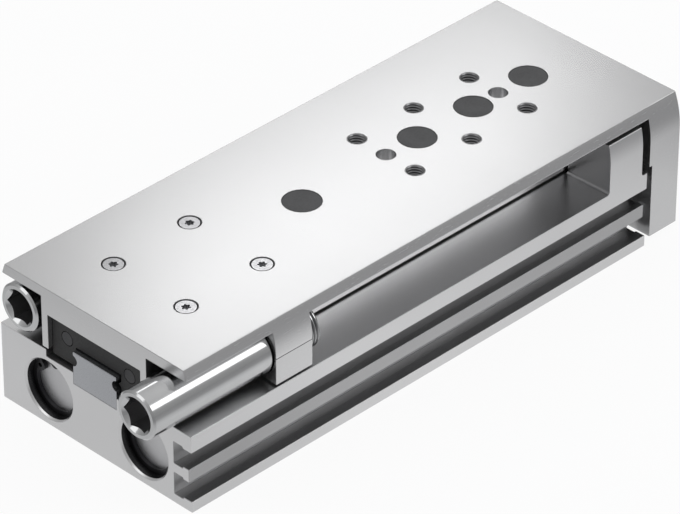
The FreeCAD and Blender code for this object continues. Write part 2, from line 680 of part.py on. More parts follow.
def make_end_plates(screws):
    """End plate, seal and two screws at each end of the carriage block."""
    body_long = end_plate - seal_plate
    seal_inner = rail_width / 2 + seal_lip_play
    members = []
    for name, plate_x, seal_x, outward in (
            ("front", carriage_front + seal_plate, carriage_front, -1),
            ("rear", block_rear, carriage_rear - seal_plate, 1)):
        for part, start, long, inner, roof, nose, hole in (
                ("carriage_end_plate_", plate_x, body_long, half_tunnel, tunnel_top, plate_nose,
                 plate_screw / 2 + screw_play),
                ("carriage_seal_", seal_x, seal_plate, seal_inner, rail_top + seal_lip_play,
                 seal_nose, plate_screw_head / 2 + screw_play)):
            body = new_body(part + name)
            flank = [(inner, race_z + nose_half), (inner - nose, race_z), (inner, race_z - nose_half)]
            sketch = new_sketch(body, "YZ_Plane", (0, 0, start))
            outline(sketch, carriage_outline(inner, roof, flank))
            extrude("Pad", sketch, long)
            sketch = new_sketch(body, "YZ_Plane", (0, 0, start))
            rings(sketch, [(y, z, hole) for y, z in screws])
            extrude("Pocket", sketch, long, True)
        head_front = seal_x
        shank_end = (block_front + plate_screw_grip if outward < 0
                     else block_rear - plate_screw_grip)
        head_inner = head_front + seal_plate if outward < 0 else head_front
        head_outer = head_front if outward < 0 else head_front + seal_plate
        for y, z in screws:
            members.append(turned("plate_screw", y, z, [
                (head_outer, 0), (head_outer, plate_screw_head / 2),
                (head_inner, plate_screw_head / 2), (head_inner, plate_screw / 2),
                (shank_end, plate_screw / 2), (shank_end, 0)]))
    group("end_plate_screws", members)


def make_balls():
    """Two loaded rows of balls beside the rail and two returning rows in the block."""
    count = int((block_long / ball_pitch).value)
    first = block_front + (block_long - ball_pitch * (count - 1)) / 2
    members = []
    for sign in SIDES.values():
        for path in (race_y, return_at):
            for i in range(count):
                sphere = document.addObject("Part::Sphere", "guide_ball")
                bind(sphere, "Radius", ball / 2)
                bind(sphere, "Placement.Base.x", front + first + ball_pitch * i)
                bind(sphere, "Placement.Base.y", path * sign)
                bind(sphere, "Placement.Base.z", race_z)
                members.append(sphere)
    group("guide_balls", members)


def make_carriage_screws():
    """Countersunk screws from the top of the slide into the carriage."""
    sunk = table_height - (small_sink - small_head) / 2 + sink_play
    head, shank = small_head / 2, small_screw / 2
    tip = block_top - small_grip - sunk
    members = []
    for x, y in carriage_bolt_places:
        body = new_body("carriage_screw", y, sunk)
        bind(body, "Placement.Base.x", front + x)
        sketch = new_sketch(body, "XZ_Plane")
        outline(sketch, [(0, 0), (head, 0), (shank, shank - head), (shank, tip), (0, tip)])
        revolve("Revolution", sketch, "V_Axis")
        sketch = new_sketch(body, "XY_Plane")
        outline(sketch, hexagon(small_socket))
        extrude("Pocket", sketch, small_socket_deep)
        members.append(body)
    group("carriage_screws", members)


def make_slide():
    """Slide: flat table, the channel round the carriage, a lug for each stop and the yoke."""
    wing_low, wing_top = lean(wing_bottom, half_side), lean(table_height, half_side)
    table = bar("slide_table", [
        (wing_low, wing_bottom), (wing_top, table_height, lean_radius), (-wing_top, table_height),
        (-wing_low, wing_bottom, lean_radius)], 0, plate_end)
    roof = bar("slide_roof", [
        (half_pocket, block_top), (half_pocket, wing_bottom), (-half_pocket, wing_bottom),
        (-half_pocket, block_top)], 0, plate_end)
    cut_table_holes(table, roof)
    for side, sign in SIDES.items():
        bar("slide_skirt_" + side, mirrored([
            (half_pocket, table_bottom), (skirt_outer, table_bottom), (skirt_outer, wing_bottom),
            (half_pocket, wing_bottom)], sign), 0, plate_end)

    crown = lean(wing_bottom, slide_lug_side)
    for side, lug_front in (("right", advance_lug_front), ("left", retract_slide_lug)):
        body = bar("slide_lug_" + side, mirrored([
            (slide_lug_side, table_bottom), (slide_lug_side, lean_start),
            (crown, wing_bottom, lean_radius), (skirt_outer, wing_bottom),
            (skirt_outer, table_bottom)], SIDES[side]), lug_front, lug_length)
        if side == "right":
            sketch = new_sketch(body, "YZ_Plane", (0, 0, lug_front))
            rings(sketch, [(-stop_side, stop_height, sleeve_thread / 2 + thread_play)])
            extrude("Pocket", sketch, lug_length, True)

    yoke = new_body("slide_yoke")
    for start, low, thick in ((yoke_front, yoke_bottom, yoke_thick), (plate_end, step_height, yoke_step)):
        sketch = new_sketch(yoke, "YZ_Plane", (0, 0, start))
        outline(sketch, [
            (-half_side, low), (half_side, low), (half_side, lean_start),
            (wing_top, table_height, lean_radius), (-wing_top, table_height),
            (-half_side, lean_start, lean_radius)])
        extrude("Pad", sketch, thick)
    cut_yoke_holes(yoke)


def sink(pieces, circles, depth):
    """Cut round holes down from the slide's top, into each (body, top) that the depth reaches."""
    for body, top in pieces:
        below = depth - (table_height - top)
        if below.value > 1e-6:
            sketch = new_sketch(body, "XY_Plane", (0, 0, top))
            rings(sketch, circles)
            extrude("Pocket", sketch, below)


def cut_table_holes(table, roof):
    """Threads, centring holes, access holes and countersinks in the slide's top."""
    pieces = ((table, table_height), (roof, wing_bottom))
    thread_rows = [slide_length - thread_rear - thread_row * i for i in range(int(thread_count.value))]
    threads = [(x, thread_row / 2 * sign, table_thread / 2)
               for x in thread_rows for sign in SIDES.values()]
    access = [(x, 0, access_hole / 2) for x in access_holes]
    screws = [(x, y, small_screw / 2 + screw_play) for x, y in carriage_bolt_places]
    sink(pieces, threads + access + screws, plate_thick)
    sink(pieces, [(x, 0, pin_hole / 2) for x in (thread_rows[0], thread_rows[-1])], pin_deep)
    depth = (small_sink - small_screw) / 2 - screw_play
    for x, y in carriage_bolt_places:
        cone = table.newObject("PartDesign::SubtractiveCone", "countersink")
        bind(cone, "Radius1", small_screw / 2 + screw_play)
        bind(cone, "Radius2", small_sink / 2)
        bind(cone, "Height", depth)
        cone.AttachmentSupport = [(plane(table, "XY_Plane"), "")]
        cone.MapMode = "FlatFace"
        for axis, value in (("x", x), ("y", y), ("z", table_height - depth)):
            bind(cone, "AttachmentOffset.Base." + axis, value)
        document.recompute()


def make_hole_plugs():
    """Plastic plugs that close the access holes."""
    outer, top = access_hole / 2 - plug_play, table_height - plug_inset
    bottom, inner = top - plug_deep, outer - plug_wall
    members = []
    for x in access_holes:
        body = new_body("hole_plug")
        bind(body, "Placement.Base.x", front + x)
        sketch = new_sketch(body, "XZ_Plane")
        outline(sketch, [(0, top), (outer, top), (outer, bottom), (inner, bottom),
                         (inner, top - plug_wall), (0, top - plug_wall)])
        revolve("Revolution", sketch, "V_Axis")
        members.append(body)
    group("hole_plugs", members)


def cut_yoke_holes(body):
    """Counterbores for the rods' screws, and the threads in the yoke's rear face."""
    for radius, depth in ((yoke_sink / 2, yoke_sink_deep), (yoke_screw / 2 + screw_play, yoke_thick)):
        sketch = new_sketch(body, "YZ_Plane", (0, 0, slide_length))
        rings(sketch, [(bore_side * sign, bore_height, radius) for sign in SIDES.values()])
        extrude("Pocket", sketch, depth)
    upper = table_height - yoke_thread_drop
    sketch = new_sketch(body, "YZ_Plane", (0, 0, slide_length))
    rings(sketch, [(yoke_thread_wide / 2 * sign, z, table_thread / 2)
                   for sign in SIDES.values() for z in (upper - yoke_thread_high, upper)])
    extrude("Pocket", sketch, yoke_thread_deep)


def make_retaining_ring(name, side, start):
    """Internal retaining ring with two ears for pliers."""
    body = new_body(name, bore_side * SIDES[side], bore_height)
    body.Placement.Rotation = Rotation(Vector(1, 0, 0), ring_turn.value)
    bind(body, "Placement.Rotation.Angle", ring_turn)
    inner, reach = bore_radius - ring_width, bore_radius - ring_play - ear_radius
    ear_height = (reach * reach - ear_spread * ear_spread).root()
    ears = [(ear_spread * sign, ear_height) for sign in SIDES.values()]
    half = ring_gap / 2

    sketch = new_sketch(body, "YZ_Plane", (0, 0, start))
    rings(sketch, [(0, 0, bore_radius + ring_bite), (0, 0, inner)])
    extrude("Pad", sketch, ring_thick)
    sketch = new_sketch(body, "YZ_Plane", (0, 0, start))
    outline(sketch, [(-half, 0), (half, 0), (half, bore), (-half, bore)])
    extrude("Pocket", sketch, ring_thick, True)
    for y, z in ears:
        sketch = new_sketch(body, "YZ_Plane", (0, 0, start))
        rings(sketch, [(y, z, ear_radius)])
        extrude("Pad", sketch, ring_thick)
    sketch = new_sketch(body, "YZ_Plane", (0, 0, start))
    rings(sketch, [(y, z, ear_hole) for y, z in ears])
    extrude("Pocket", sketch, ring_thick, True)


def grooved(start, end, outer, grooves):
    """Outer contour of a turned piece, from start to end, with (at, width, depth) grooves."""
    points = [(start, outer)]
    for at, width, depth in grooves:
        points += [(at, outer), (at, outer - depth), (at + width, outer - depth), (at + width, outer)]
    return points + [(end, outer)]


def make_band(name, y, z, start, long, inner, outer):
    """Plain ring about a bore's axis: a seal, a wear ring or the magnet."""
    turned(name, y, z, [(start, inner), (start + long, inner), (start + long, outer), (start, outer)])


def make_bore_parts(side):
    """What closes one bore: cap, rod guide, their seals and the retaining rings."""
    y, z = bore_side * SIDES[side], bore_height
    wall = bore_radius - cap_play
    depth = seal_cord - cap_play
    seat, sealed = wall - depth + seal_play, bore_radius - seal_play

    seal_x = cap_front + (cap_thick - seal_cord) / 2
    turned("end_cap_" + side, y, z, [(cap_front, 0)] + grooved(
        cap_front, cap_rear, wall, [(seal_x, seal_cord, depth)]) + [(cap_rear, 0)])
    make_band("cap_seal_" + side, y, z, seal_x, seal_cord, seat, sealed)

    rod_bore = rod / 2 + rod_play
    lip_rear = guide_rear - lip_seal_inset
    lip_front = lip_rear - lip_seal_long
    lip_outer = rod_bore + lip_seal_deep
    seal_x = guide_front + guide_seal_at
    inner = [(guide_rear, rod_bore), (lip_rear, rod_bore), (lip_rear, lip_outer),
             (lip_front, lip_outer), (lip_front, rod_bore), (guide_front, rod_bore)]
    turned("rod_guide_" + side, y, z, grooved(
        guide_front, guide_rear, wall, [(seal_x, seal_cord, depth)]) + inner)
    make_band("guide_seal_" + side, y, z, seal_x, seal_cord, seat, sealed)
    make_band("rod_seal_" + side, y, z, lip_front, lip_seal_long, rod_bore, lip_outer - seal_play)
    make_retaining_ring("front_ring_" + side, side, ring_inset)
    make_retaining_ring("rear_ring_" + side, side, rear_ring_front)


def make_piston(side):
    """Piston with its seal and wear ring, the magnet on the sensor side, and the rod."""
    y, z = bore_side * SIDES[side], bore_height
    outer, running = bore_radius - piston_play, bore_radius - running_play
    rear = piston_front + piston_long
    bands = [("piston_seal_", piston_front + piston_seal_at, piston_seal_long, piston_groove, running)]
    if side == "right":
        bands.append(("piston_magnet_", piston_front + magnet_at, magnet_long, piston_groove, outer))
    bands.append(("wear_ring_", piston_front + wear_at, wear_long, wear_groove, running))
    hole = spigot / 2 + seal_play
    turned("piston_" + side, y, z, grooved(
        piston_front, rear, outer, [(at, long, deep) for _, at, long, deep, _ in bands])
        + [(rear, hole), (piston_front, hole)])
    for name, at, long, deep, band_outer in bands:
        make_band(name + side, y, z, at, long, outer - deep + seal_play, band_outer)
    tap, tap_end = yoke_screw / 2 + thread_play, yoke_front - yoke_grip - rod_tap_spare
    turned("piston_rod_" + side, y, z, [
        (piston_front, 0), (piston_front, spigot / 2), (rear, spigot / 2), (rear, rod / 2),
        (yoke_front, rod / 2), (yoke_front, tap), (tap_end, tap), (tap_end, 0)])


def make_yoke_screws():
    """Cap screws from the yoke's rear into the rods."""
    seat, tip = slide_length - yoke_sink_deep, yoke_front - yoke_grip
    crown = seat + yoke_head_high
    members = []
    for sign in SIDES.values():
        body = turned("yoke_screw", bore_side * sign, bore_height, [
            (tip, 0), (tip, yoke_screw / 2), (seat, yoke_screw / 2), (seat, yoke_head / 2),
            (crown, yoke_head / 2), (crown, 0)])
        sketch = new_sketch(body, "YZ_Plane", (0, 0, crown))
        outline(sketch, hexagon(key_large))
        extrude("Pocket", sketch, key_deep)
        members.append(body)
    group("yoke_screws", members)


def make_stop(name, side, start, thread_start, thread_long):
    """Stop sleeve with a hex socket in front, a threaded part and an elastomer buffer behind."""
    polished, crest = sleeve / 2, sleeve_thread / 2
    root, rubber = crest - thread_deep, buffer_round / 2
    end = start + sleeve_long
    buffer_start = end - buffer_long
    turns = int((thread_long / thread_pitch).value)
    points = [(start, 0), (start, polished - sleeve_chamfer), (start + sleeve_chamfer, polished),
              (thread_start, polished)]
    for i in range(turns):
        x = thread_start + thread_pitch * i
        points += [(x, root), (x + thread_pitch / 2, crest)]
    points += [(thread_start + thread_pitch * turns, root), (end, root),
               (end, rubber + seal_play), (buffer_start, rubber + seal_play), (buffer_start, 0)]
    y = stop_side * SIDES[side]
    body = turned(name + "_sleeve", y, stop_height, points)
    sketch = new_sketch(body, "YZ_Plane", (0, 0, start))
    outline(sketch, hexagon(socket_flats))
    extrude("Pocket", sketch, socket_deep, True)
    turned(name + "_buffer", y, stop_height, [
        (buffer_start, 0), (buffer_start, rubber), (end + buffer_proud, rubber),
        (end + buffer_proud, 0)])


make_housing_sides(make_housing())
make_housing_lugs()
make_rail()
make_rail_screws()
make_slide()
make_hole_plugs()
make_carriage()
make_balls()
make_carriage_screws()
for bore_name in SIDES:
    make_bore_parts(bore_name)
    make_piston(bore_name)
make_yoke_screws()
advance_thread = advance_lug_front - thread_lead
make_stop("advance_stop", "right", advance_stop_front, advance_thread,
          advance_stop_front + sleeve_long - advance_thread)
make_stop("retract_stop", "left", retract_stop_front, retract_lug_front - thread_lead,
          lug_length + thread_lead + retract_travel)
document.recompute()

failed = [item.Name for item in document.Objects if {"Invalid", "Error"} & set(item.State)]
if failed:
    raise RuntimeError("failed features: " + ", ".join(failed))
grouped = {member.Name for item in document.Objects if item.TypeId == "Part::Compound"
           for member in item.Links}
subparts = [item for item in document.Objects
            if item.TypeId in ("PartDesign::Body", "Part::Compound") and item.Name not in grouped]
for item in subparts:
    if item.Shape.isNull() or not item.Shape.isValid():
        raise RuntimeError(item.Label + " has no valid shape")

os.makedirs("parts", exist_ok=True)
for item in subparts:
    item.Shape.exportStep("parts/" + item.Label + ".step")
    print(item.Label, len(item.Shape.Solids), round(item.Shape.Volume, 1))
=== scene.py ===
"""Looks of a pneumatic slide table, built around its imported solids.

Lengths are in metres. X runs along the stroke towards the yoke, Y across and Z up.
"""
import json
import logging
import math
from contextlib import contextmanager
from dataclasses import dataclass
from enum import Enum
from typing import Callable, Iterable, Iterator

import bmesh
import bpy
from mathutils import Matrix, Vector


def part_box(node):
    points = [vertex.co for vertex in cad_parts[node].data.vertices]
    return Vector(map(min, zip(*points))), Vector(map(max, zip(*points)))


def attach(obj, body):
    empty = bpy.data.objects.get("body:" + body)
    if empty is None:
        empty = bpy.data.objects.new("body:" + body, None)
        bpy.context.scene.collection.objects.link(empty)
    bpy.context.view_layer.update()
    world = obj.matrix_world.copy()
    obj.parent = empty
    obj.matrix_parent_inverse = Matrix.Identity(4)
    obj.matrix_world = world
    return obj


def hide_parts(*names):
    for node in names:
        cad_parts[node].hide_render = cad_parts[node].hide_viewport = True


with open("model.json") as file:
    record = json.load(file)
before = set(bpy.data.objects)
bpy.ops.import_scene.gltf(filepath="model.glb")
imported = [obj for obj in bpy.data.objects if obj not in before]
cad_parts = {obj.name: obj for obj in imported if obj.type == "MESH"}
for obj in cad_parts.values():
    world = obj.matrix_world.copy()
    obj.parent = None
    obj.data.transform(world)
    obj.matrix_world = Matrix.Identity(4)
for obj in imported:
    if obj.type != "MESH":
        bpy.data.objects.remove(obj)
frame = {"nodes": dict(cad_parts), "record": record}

Piece = bpy.types.Object
Material = bpy.types.Material
Node = bpy.types.Node
Socket = bpy.types.NodeSocket
Triple = tuple[float, float, float]

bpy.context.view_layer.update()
MM = 0.001
SLIVER = 0.1 * MM * MM
LEVEL = 0.01 * MM
SAME_POINT = 1e-7
JOINED_POINT = 1e-6
CUT_POINT = 2e-6
EVEN = (1.0, 1.0, 1.0)
ORIGIN = (0.0, 0.0, 0.0)
SCREW_ROWS = (18.35 * MM, 43.35 * MM)
SCREW_SIDE = 12.5 * MM
log = logging.getLogger("slide_table")


class Body(Enum):
    """The bodies that pieces ride on."""

    BASE = "base"
    SLIDE = "slide"
    ADVANCE_SLEEVE = "advance_sleeve"
    ADVANCE_BUFFER = "advance_buffer"
    RETRACT_SLEEVE = "retract_sleeve"
    RETRACT_BUFFER = "retract_buffer"


class Slot(Enum):
    """The record's material slots."""

    HOUSING = "housing_aluminium"
    SLIDE = "slide_aluminium"
    RAIL = "guide_steel"
    CARRIAGE = "carriage_steel"
    BALL = "ball_steel"
    PLUG = "plug_plastic"
    MAGNET = "magnet"
    SCREW = "screw_steel"
    END_PLATE = "end_plate_plastic"
    SEAL = "seal_rubber"
    CAP = "cap_aluminium"
    SPRING = "spring_steel"
    WEAR = "wear_plastic"
    ROD = "rod_steel"
    PISTON = "piston_aluminium"
    STOP = "stop_steel"
    BUFFER = "buffer_rubber"


class Nodes:
    """Builds the nodes of a material or of the world."""

    def __init__(self, owner: bpy.types.ID, output: str) -> None:
        """Start with the nodes that a new material or world holds."""
        owner.use_nodes = True
        self.tree = owner.node_tree
        self.output = self.tree.nodes[output]

    def node(self, kind: str, **settings: object) -> Node:
        """Add a node.

        Args:
            kind: The node's type, without its ShaderNode prefix.
            settings: Properties of the node and their values.

        Returns:
            The new node.
        """
        made = self.tree.nodes.new("ShaderNode" + kind)
        for key, value in settings.items():
            setattr(made, key, value)
        return made

    def join(self, source: Socket, target: Socket) -> None:
        """Link one socket to another."""
        self.tree.links.new(source, target)

    def vector(self, operation: str, first: Socket, second: Triple = ORIGIN) -> Socket:
        """Work out one step on a vector.

        Args:
            operation: The kind of step.
            first: The vector.
            second: The fixed vector of a step that takes two.

        Returns:
            The result's socket.
        """
        made = self.node("VectorMath", operation=operation)
        made.inputs[1].default_value = second
        self.join(first, made.inputs[0])
        return made.outputs["Value" if operation == "LENGTH" else "Vector"]

    def apart(self, vector: Socket) -> Node:
        """Split a vector into its three parts.

        Args:
            vector: The vector.

        Returns:
            The node that holds the parts.
        """
        made = self.node("SeparateXYZ")
        self.join(vector, made.inputs[0])
        return made

    def span(self, value: Socket, source: tuple[float, float],
             target: tuple[float, float] = (0.0, 1.0)) -> Socket:
        """Map one range to another.

        Args:
            value: The value, held within its range.
            source: The ends of its range.
            target: What they become.

        Returns:
            The value socket.
        """
        made = self.node("MapRange")
        for name, number in zip(("From Min", "From Max", "To Min", "To Max"), (*source, *target)):
            made.inputs[name].default_value = number
        self.join(value, made.inputs["Value"])
        return made.outputs["Result"]

    def greys(self, value: Socket, shades: Iterable[tuple[float, float]]) -> Socket:
        """Run softly through several greys.

        Args:
            value: Where on the run, 0 to 1.
            shades: Each grey as (position, brightness), in order.

        Returns:
            The colour socket.
        """
        made = self.node("ValToRGB")
        made.color_ramp.interpolation = "B_SPLINE"
        stops = made.color_ramp.elements
        first, *between, last = shades
        for stop, (position, shade) in zip(stops, (first, last)):
            stop.position, stop.color = position, (shade, shade, shade, 1)
        for position, shade in between:
            stops.new(position).color = (shade, shade, shade, 1)
        self.join(value, made.inputs[0])
        return made.outputs["Color"]

    def mixed(self, rays: Socket, share: float, first: Node, second: Node) -> Node:
        """Show part of a second shader over a first one, for some kinds of ray.

        Args:
            rays: 1 for the rays that see the second shader.
            share: How much of it they see.
            first: The first shader.
            second: The second shader.

        Returns:
            The node of both.
        """
        part = self.node("Math", operation="MULTIPLY")
        part.inputs[1].default_value = share
        self.join(rays, part.inputs[0])
        both = self.node("MixShader")
        for source, target in zip((part, first, second), both.inputs):
            self.join(source.outputs[0], target)
        return both

    def show(self, plain: Node, mirrored: Node, straight: Node,
             shares: tuple[float, float] = (1.0, 1.0)) -> None:
        """Light the object with one shader and show others in reflections and to the camera.

        Args:
            plain: The shader that lights the object.
            mirrored: The shader that reflections see.
            straight: The shader that the camera sees.
            shares: How much of the last two is seen.
        """
        path = self.node("LightPath")
        either = self.node("Math", operation="MAXIMUM")
        self.join(path.outputs["Is Glossy Ray"], either.inputs[0])
        self.join(path.outputs["Is Transmission Ray"], either.inputs[1])
        reflected = self.mixed(either.outputs[0], shares[0], plain, mirrored)
        shown = self.mixed(path.outputs["Is Camera Ray"], shares[1], reflected, straight)
        self.join(shown.outputs[0], self.output.inputs["Surface"])


class Shader(Nodes):
    """Builds one material's nodes."""

    def __init__(self, name: str) -> None:
        """Start a material that holds only its output and its main shader."""
        self.material = bpy.data.materials.new(name)
        super().__init__(self.material, "Material Output")
        self.surface = self.tree.nodes["Principled BSDF"]

    def place(self, scale: Triple = EVEN, centre: Triple = ORIGIN) -> Socket:
        """Object coordinates, measured from a centre and scaled.

        Args:
            scale: Factor along each axis, per metre.
            centre: The point that becomes the origin.

        Returns:
            The vector socket.
        """
        moved = self.vector("SUBTRACT", self.node("TexCoord").outputs["Object"], centre)
        return self.vector("MULTIPLY", moved, scale)

    def noise(self, vector: Socket, scale: float, detail: float = 3.0) -> Socket:
        """Fractal noise.

        Args:
            vector: Where it is read.
            scale: Waves per unit of the vector.
            detail: Octaves.

        Returns:
            The value socket.
        """
        made = self.node("TexNoise")
        made.inputs["Scale"].default_value = scale
        made.inputs["Detail"].default_value = detail
        self.join(vector, made.inputs["Vector"])
        return made.outputs["Fac"]

    def around(self, noise: Socket, middle: float, reach: float) -> Socket:
        """Spread the middle of a noise to either side of a value."""
        return self.span(noise, (0.3, 0.7), (middle - reach, middle + reach))

    def tint(self, colour: Triple, tones: tuple[float, float], waves: float) -> None:
        """Colour the surface with a soft cloud of two tones.

        Args:
            colour: The colour.
            tones: Factors that give its dark and its bright tone.
            waves: Waves of the cloud per metre.
        """
        cloud = self.noise(self.place(), waves)
        made = self.node("Mix", data_type="RGBA")
        for number, tone in zip((6, 7), tones):
            made.inputs[number].default_value = (*(min(part * tone, 1.0) for part in colour), 1)
        self.join(self.around(cloud, 0.5, 0.5), made.inputs[0])
        self.join(made.outputs[2], self.surface.inputs["Base Color"])

    def edges(self, radius: float) -> Socket:
        """Where the surface turns within a radius: 0 on flat ground, up to 1 at an edge.

        Args:
            radius: How far from an edge it still counts.

        Returns:
            The value socket.
        """
        rounded = self.node("Bevel", samples=4)
        rounded.inputs["Radius"].default_value = radius
        same = self.node("VectorMath", operation="DOT_PRODUCT")
        for source, target in zip((rounded, self.node("NewGeometry")), same.inputs):
            self.join(source.outputs["Normal"], target)
        return self.span(same.outputs["Value"], (0.995, 0.9))

    def bump(self, height: Socket, depth: float) -> None:
        """Raise the surface by a height map.

        Args:
            height: The map, about 0 to 1.
            depth: Its height in metres.
        """
        made = self.node("Bump")
        made.inputs["Distance"].default_value = depth
        self.join(height, made.inputs["Height"])
        self.join(made.outputs["Normal"], self.surface.inputs["Normal"])


@dataclass(frozen=True)
class Metal:
    """A machined, ground or drawn metal, with its grain along the part."""

    name: str
    colour: Triple
    roughness: float
    grain: Triple = (0.04, 1.0, 1.0)
    grain_waves: float = 9000.0
    grain_depth: float = 0.000002
    tone: float = 0.06
    patch: float = 0.05
    edge: float = 0.0003
    edge_polish: float = 0.5
    cloud_waves: float = 45.0

    def material(self) -> Material:
        """Make the metal.

        Returns:
            The material.
        """
        shader = Shader(self.name)
        surface = shader.surface
        surface.inputs["Metallic"].default_value = 1.0
        shader.tint(self.colour, (1 - self.tone, 1 + self.tone), self.cloud_waves)
        grain = shader.noise(shader.place(self.grain), self.grain_waves)
        polished = shader.node("Math", operation="MULTIPLY_ADD")
        shader.join(shader.edges(self.edge), polished.inputs[0])
        polished.inputs[1].default_value = -self.edge_polish * self.roughness
        shader.join(shader.around(grain, self.roughness, self.patch), polished.inputs[2])
        shader.join(polished.outputs[0], surface.inputs["Roughness"])
        shader.bump(grain, self.grain_depth)
        return shader.material


@dataclass(frozen=True)
class Turned:
    """A metal turned about an axis along X, with the fine rings of the lathe."""

    name: str
    colour: Triple
    roughness: float
    centre: Triple
    rings: float = 5000.0
    ring_depth: float = 0.0000015
    patch: float = 0.05
    tones: tuple[float, float] = (0.93, 1.0)
    cloud_waves: float = 120.0

    def material(self) -> Material:
        """Make the metal.

        Returns:
            The material.
        """
        shader = Shader(self.name)
        surface = shader.surface
        surface.inputs["Metallic"].default_value = 1.0
        shader.tint(self.colour, self.tones, self.cloud_waves)
        along = shader.apart(shader.place(EVEN, self.centre)).outputs["X"]
        radius = shader.vector("LENGTH", shader.place((0.0, 1.0, 1.0), self.centre))
        both = shader.node("CombineXYZ")
        shader.join(along, both.inputs["X"])
        shader.join(radius, both.inputs["Y"])
        rings = shader.noise(both.outputs[0], self.rings, 2.0)
        shader.join(shader.around(rings, self.roughness, self.patch), surface.inputs["Roughness"])
        shader.bump(rings, self.ring_depth)
        return shader.material


@dataclass(frozen=True)
class Moulded:
    """A plastic or rubber with a fine matt skin."""

    name: str
    colour: Triple
    roughness: float
    skin: float = 2500.0
    skin_depth: float = 0.00001
    tone: float = 0.15
    specular: float = 0.5
    patch: float = 0.08
    cloud_waves: float = 150.0

    def material(self) -> Material:
        """Make the plastic or rubber.

        Returns:
            The material.
        """
        shader = Shader(self.name)
        surface = shader.surface
        surface.inputs["Specular IOR Level"].default_value = self.specular
        shader.tint(self.colour, (1 - self.tone, 1 + self.tone), self.cloud_waves)
        skin = shader.noise(shader.place(), self.skin, 4.0)
        shader.join(shader.around(skin, self.roughness, self.patch), surface.inputs["Roughness"])
        shader.bump(skin, self.skin_depth)
        return shader.material


def deselect() -> None:
    """Leave nothing selected in object mode."""
    for piece in list(bpy.context.selected_objects):
        piece.select_set(False)


def activate(piece: Piece) -> None:
    """Make a piece the only selected and the active object."""
    deselect()
    piece.select_set(True)
    bpy.context.view_layer.objects.active = piece


@contextmanager
def editing(piece: Piece) -> Iterator[None]:
    """Work on a piece in edit mode, with nothing of it selected at first."""
    activate(piece)
    bpy.ops.object.mode_set(mode="EDIT")
    bpy.ops.mesh.select_mode(type="FACE")
    bpy.ops.mesh.select_all(action="DESELECT")
    yield
    bpy.ops.object.mode_set(mode="OBJECT")


def apply(piece: Piece, kind: str, **settings: object) -> None:
    """Add a modifier to a piece and apply it.

    Args:
        piece: The piece.
        kind: The modifier's type.
        settings: Its properties and their values.
    """
    activate(piece)
    modifier = piece.modifiers.new(kind.lower(), kind)
    for key, value in settings.items():
        setattr(modifier, key, value)
    bpy.ops.object.modifier_apply(modifier=modifier.name)


def smooth(piece: Piece, angle: float = 30.0) -> None:
    """Shade a piece smooth, apart from edges sharper than an angle in degrees."""
    activate(piece)
    bpy.ops.object.shade_smooth_by_angle(angle=math.radians(angle))


def settle(piece: Piece) -> None:
    """Shade a piece smooth with its large faces flat up to their broken edges."""
    smooth(piece)
    apply(piece, "WEIGHTED_NORMAL", weight=100, keep_sharp=True)


def weld(reach: float) -> None:
    """Merge the points that lie within a reach, on the piece in edit mode."""
    bpy.ops.mesh.select_all(action="SELECT")
    bpy.ops.mesh.remove_doubles(threshold=reach)


def flatten(piece: Piece, reach: float) -> None:
    """Merge a piece's points within a reach and make each flat face whole."""
    with editing(piece):
        weld(reach)
        bpy.ops.mesh.dissolve_limited(angle_limit=math.radians(0.2))


def placed(name: str) -> Piece:
    """Name the primitive just added and move its place and size into its mesh.

    Args:
        name: Its name.

    Returns:
        The piece.
    """
    piece = bpy.context.object
    piece.name = piece.data.name = name
    bpy.ops.object.transform_apply(location=True, rotation=True, scale=True)
    return piece


def merged_copy(node: str, name: str) -> Piece:
    """Copy a solid's mesh as one closed mesh with large flat faces.

    Args:
        node: The solid.
        name: The name of the copy.

    Returns:
        The copy.
    """
    piece = bpy.data.objects.new(name, frame["nodes"][node].data.copy())
    piece.data.name = name
    bpy.context.collection.objects.link(piece)
    piece.data.materials.clear()
    flatten(piece, SAME_POINT)
    return piece


def hand_over(piece: Piece, body: Body, finish: Material,
              nodes: Iterable[str] = ()) -> None:
    """Dress a finished piece and tie it to its body.

    Args:
        piece: The piece.
        body: The body it rides on.
        finish: Its material.
        nodes: The solids that it stands for.
    """
    piece.data.materials.clear()
    piece.data.materials.append(finish)
    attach(piece, body.value)
    if nodes:
        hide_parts(*nodes)
    log.info("%s: %d faces on %s", piece.name, len(piece.data.polygons), body.value)


def boolean(piece: Piece, other: Piece, operation: str = "DIFFERENCE") -> None:
    """Cut another piece from a piece or unite the two, and remove the other.

    Args:
        piece: The piece that is kept.
        other: The tool piece.
        operation: UNION or DIFFERENCE.
    """
    apply(piece, "BOOLEAN", operation=operation, solver="EXACT", object=other)
    bpy.data.objects.remove(other)


def joined_copy(nodes: Iterable[str], name: str) -> Piece:
    """Copy several touching solids as the one piece that they are on the real product.

    Args:
        nodes: The solids.
        name: The name of the piece.

    Returns:
        The piece.
    """
    first, *others = nodes
    piece = merged_copy(first, name)
    for node in others:
        boolean(piece, merged_copy(node, node + "_copy"), "UNION")
    flatten(piece, JOINED_POINT)
    return piece


def break_edges(piece: Piece, width: float, angle: float = 40.0, segments: int = 2) -> None:
    """Break a piece's sharp edges slightly and shade it.

    Args:
        piece: The piece.
        width: Width of the broken edge.
        angle: Edges sharper than this are broken, in degrees.
        segments: Faces across the broken edge.
    """
    least = math.radians(angle)
    with editing(piece):
        bpy.ops.mesh.select_mode(type="EDGE")
        mesh = bmesh.from_edit_mesh(piece.data)
        for edge in mesh.edges:
            sharp = len(edge.link_faces) == 2 and edge.calc_face_angle(0) > least
            edge.select_set(sharp and min(face.calc_area() for face in edge.link_faces) > SLIVER)
        bmesh.update_edit_mesh(piece.data)
        bpy.ops.mesh.bevel(offset=width, segments=segments, affect="EDGES", miter_outer="ARC",
                           clamp_overlap=False)
    settle(piece)


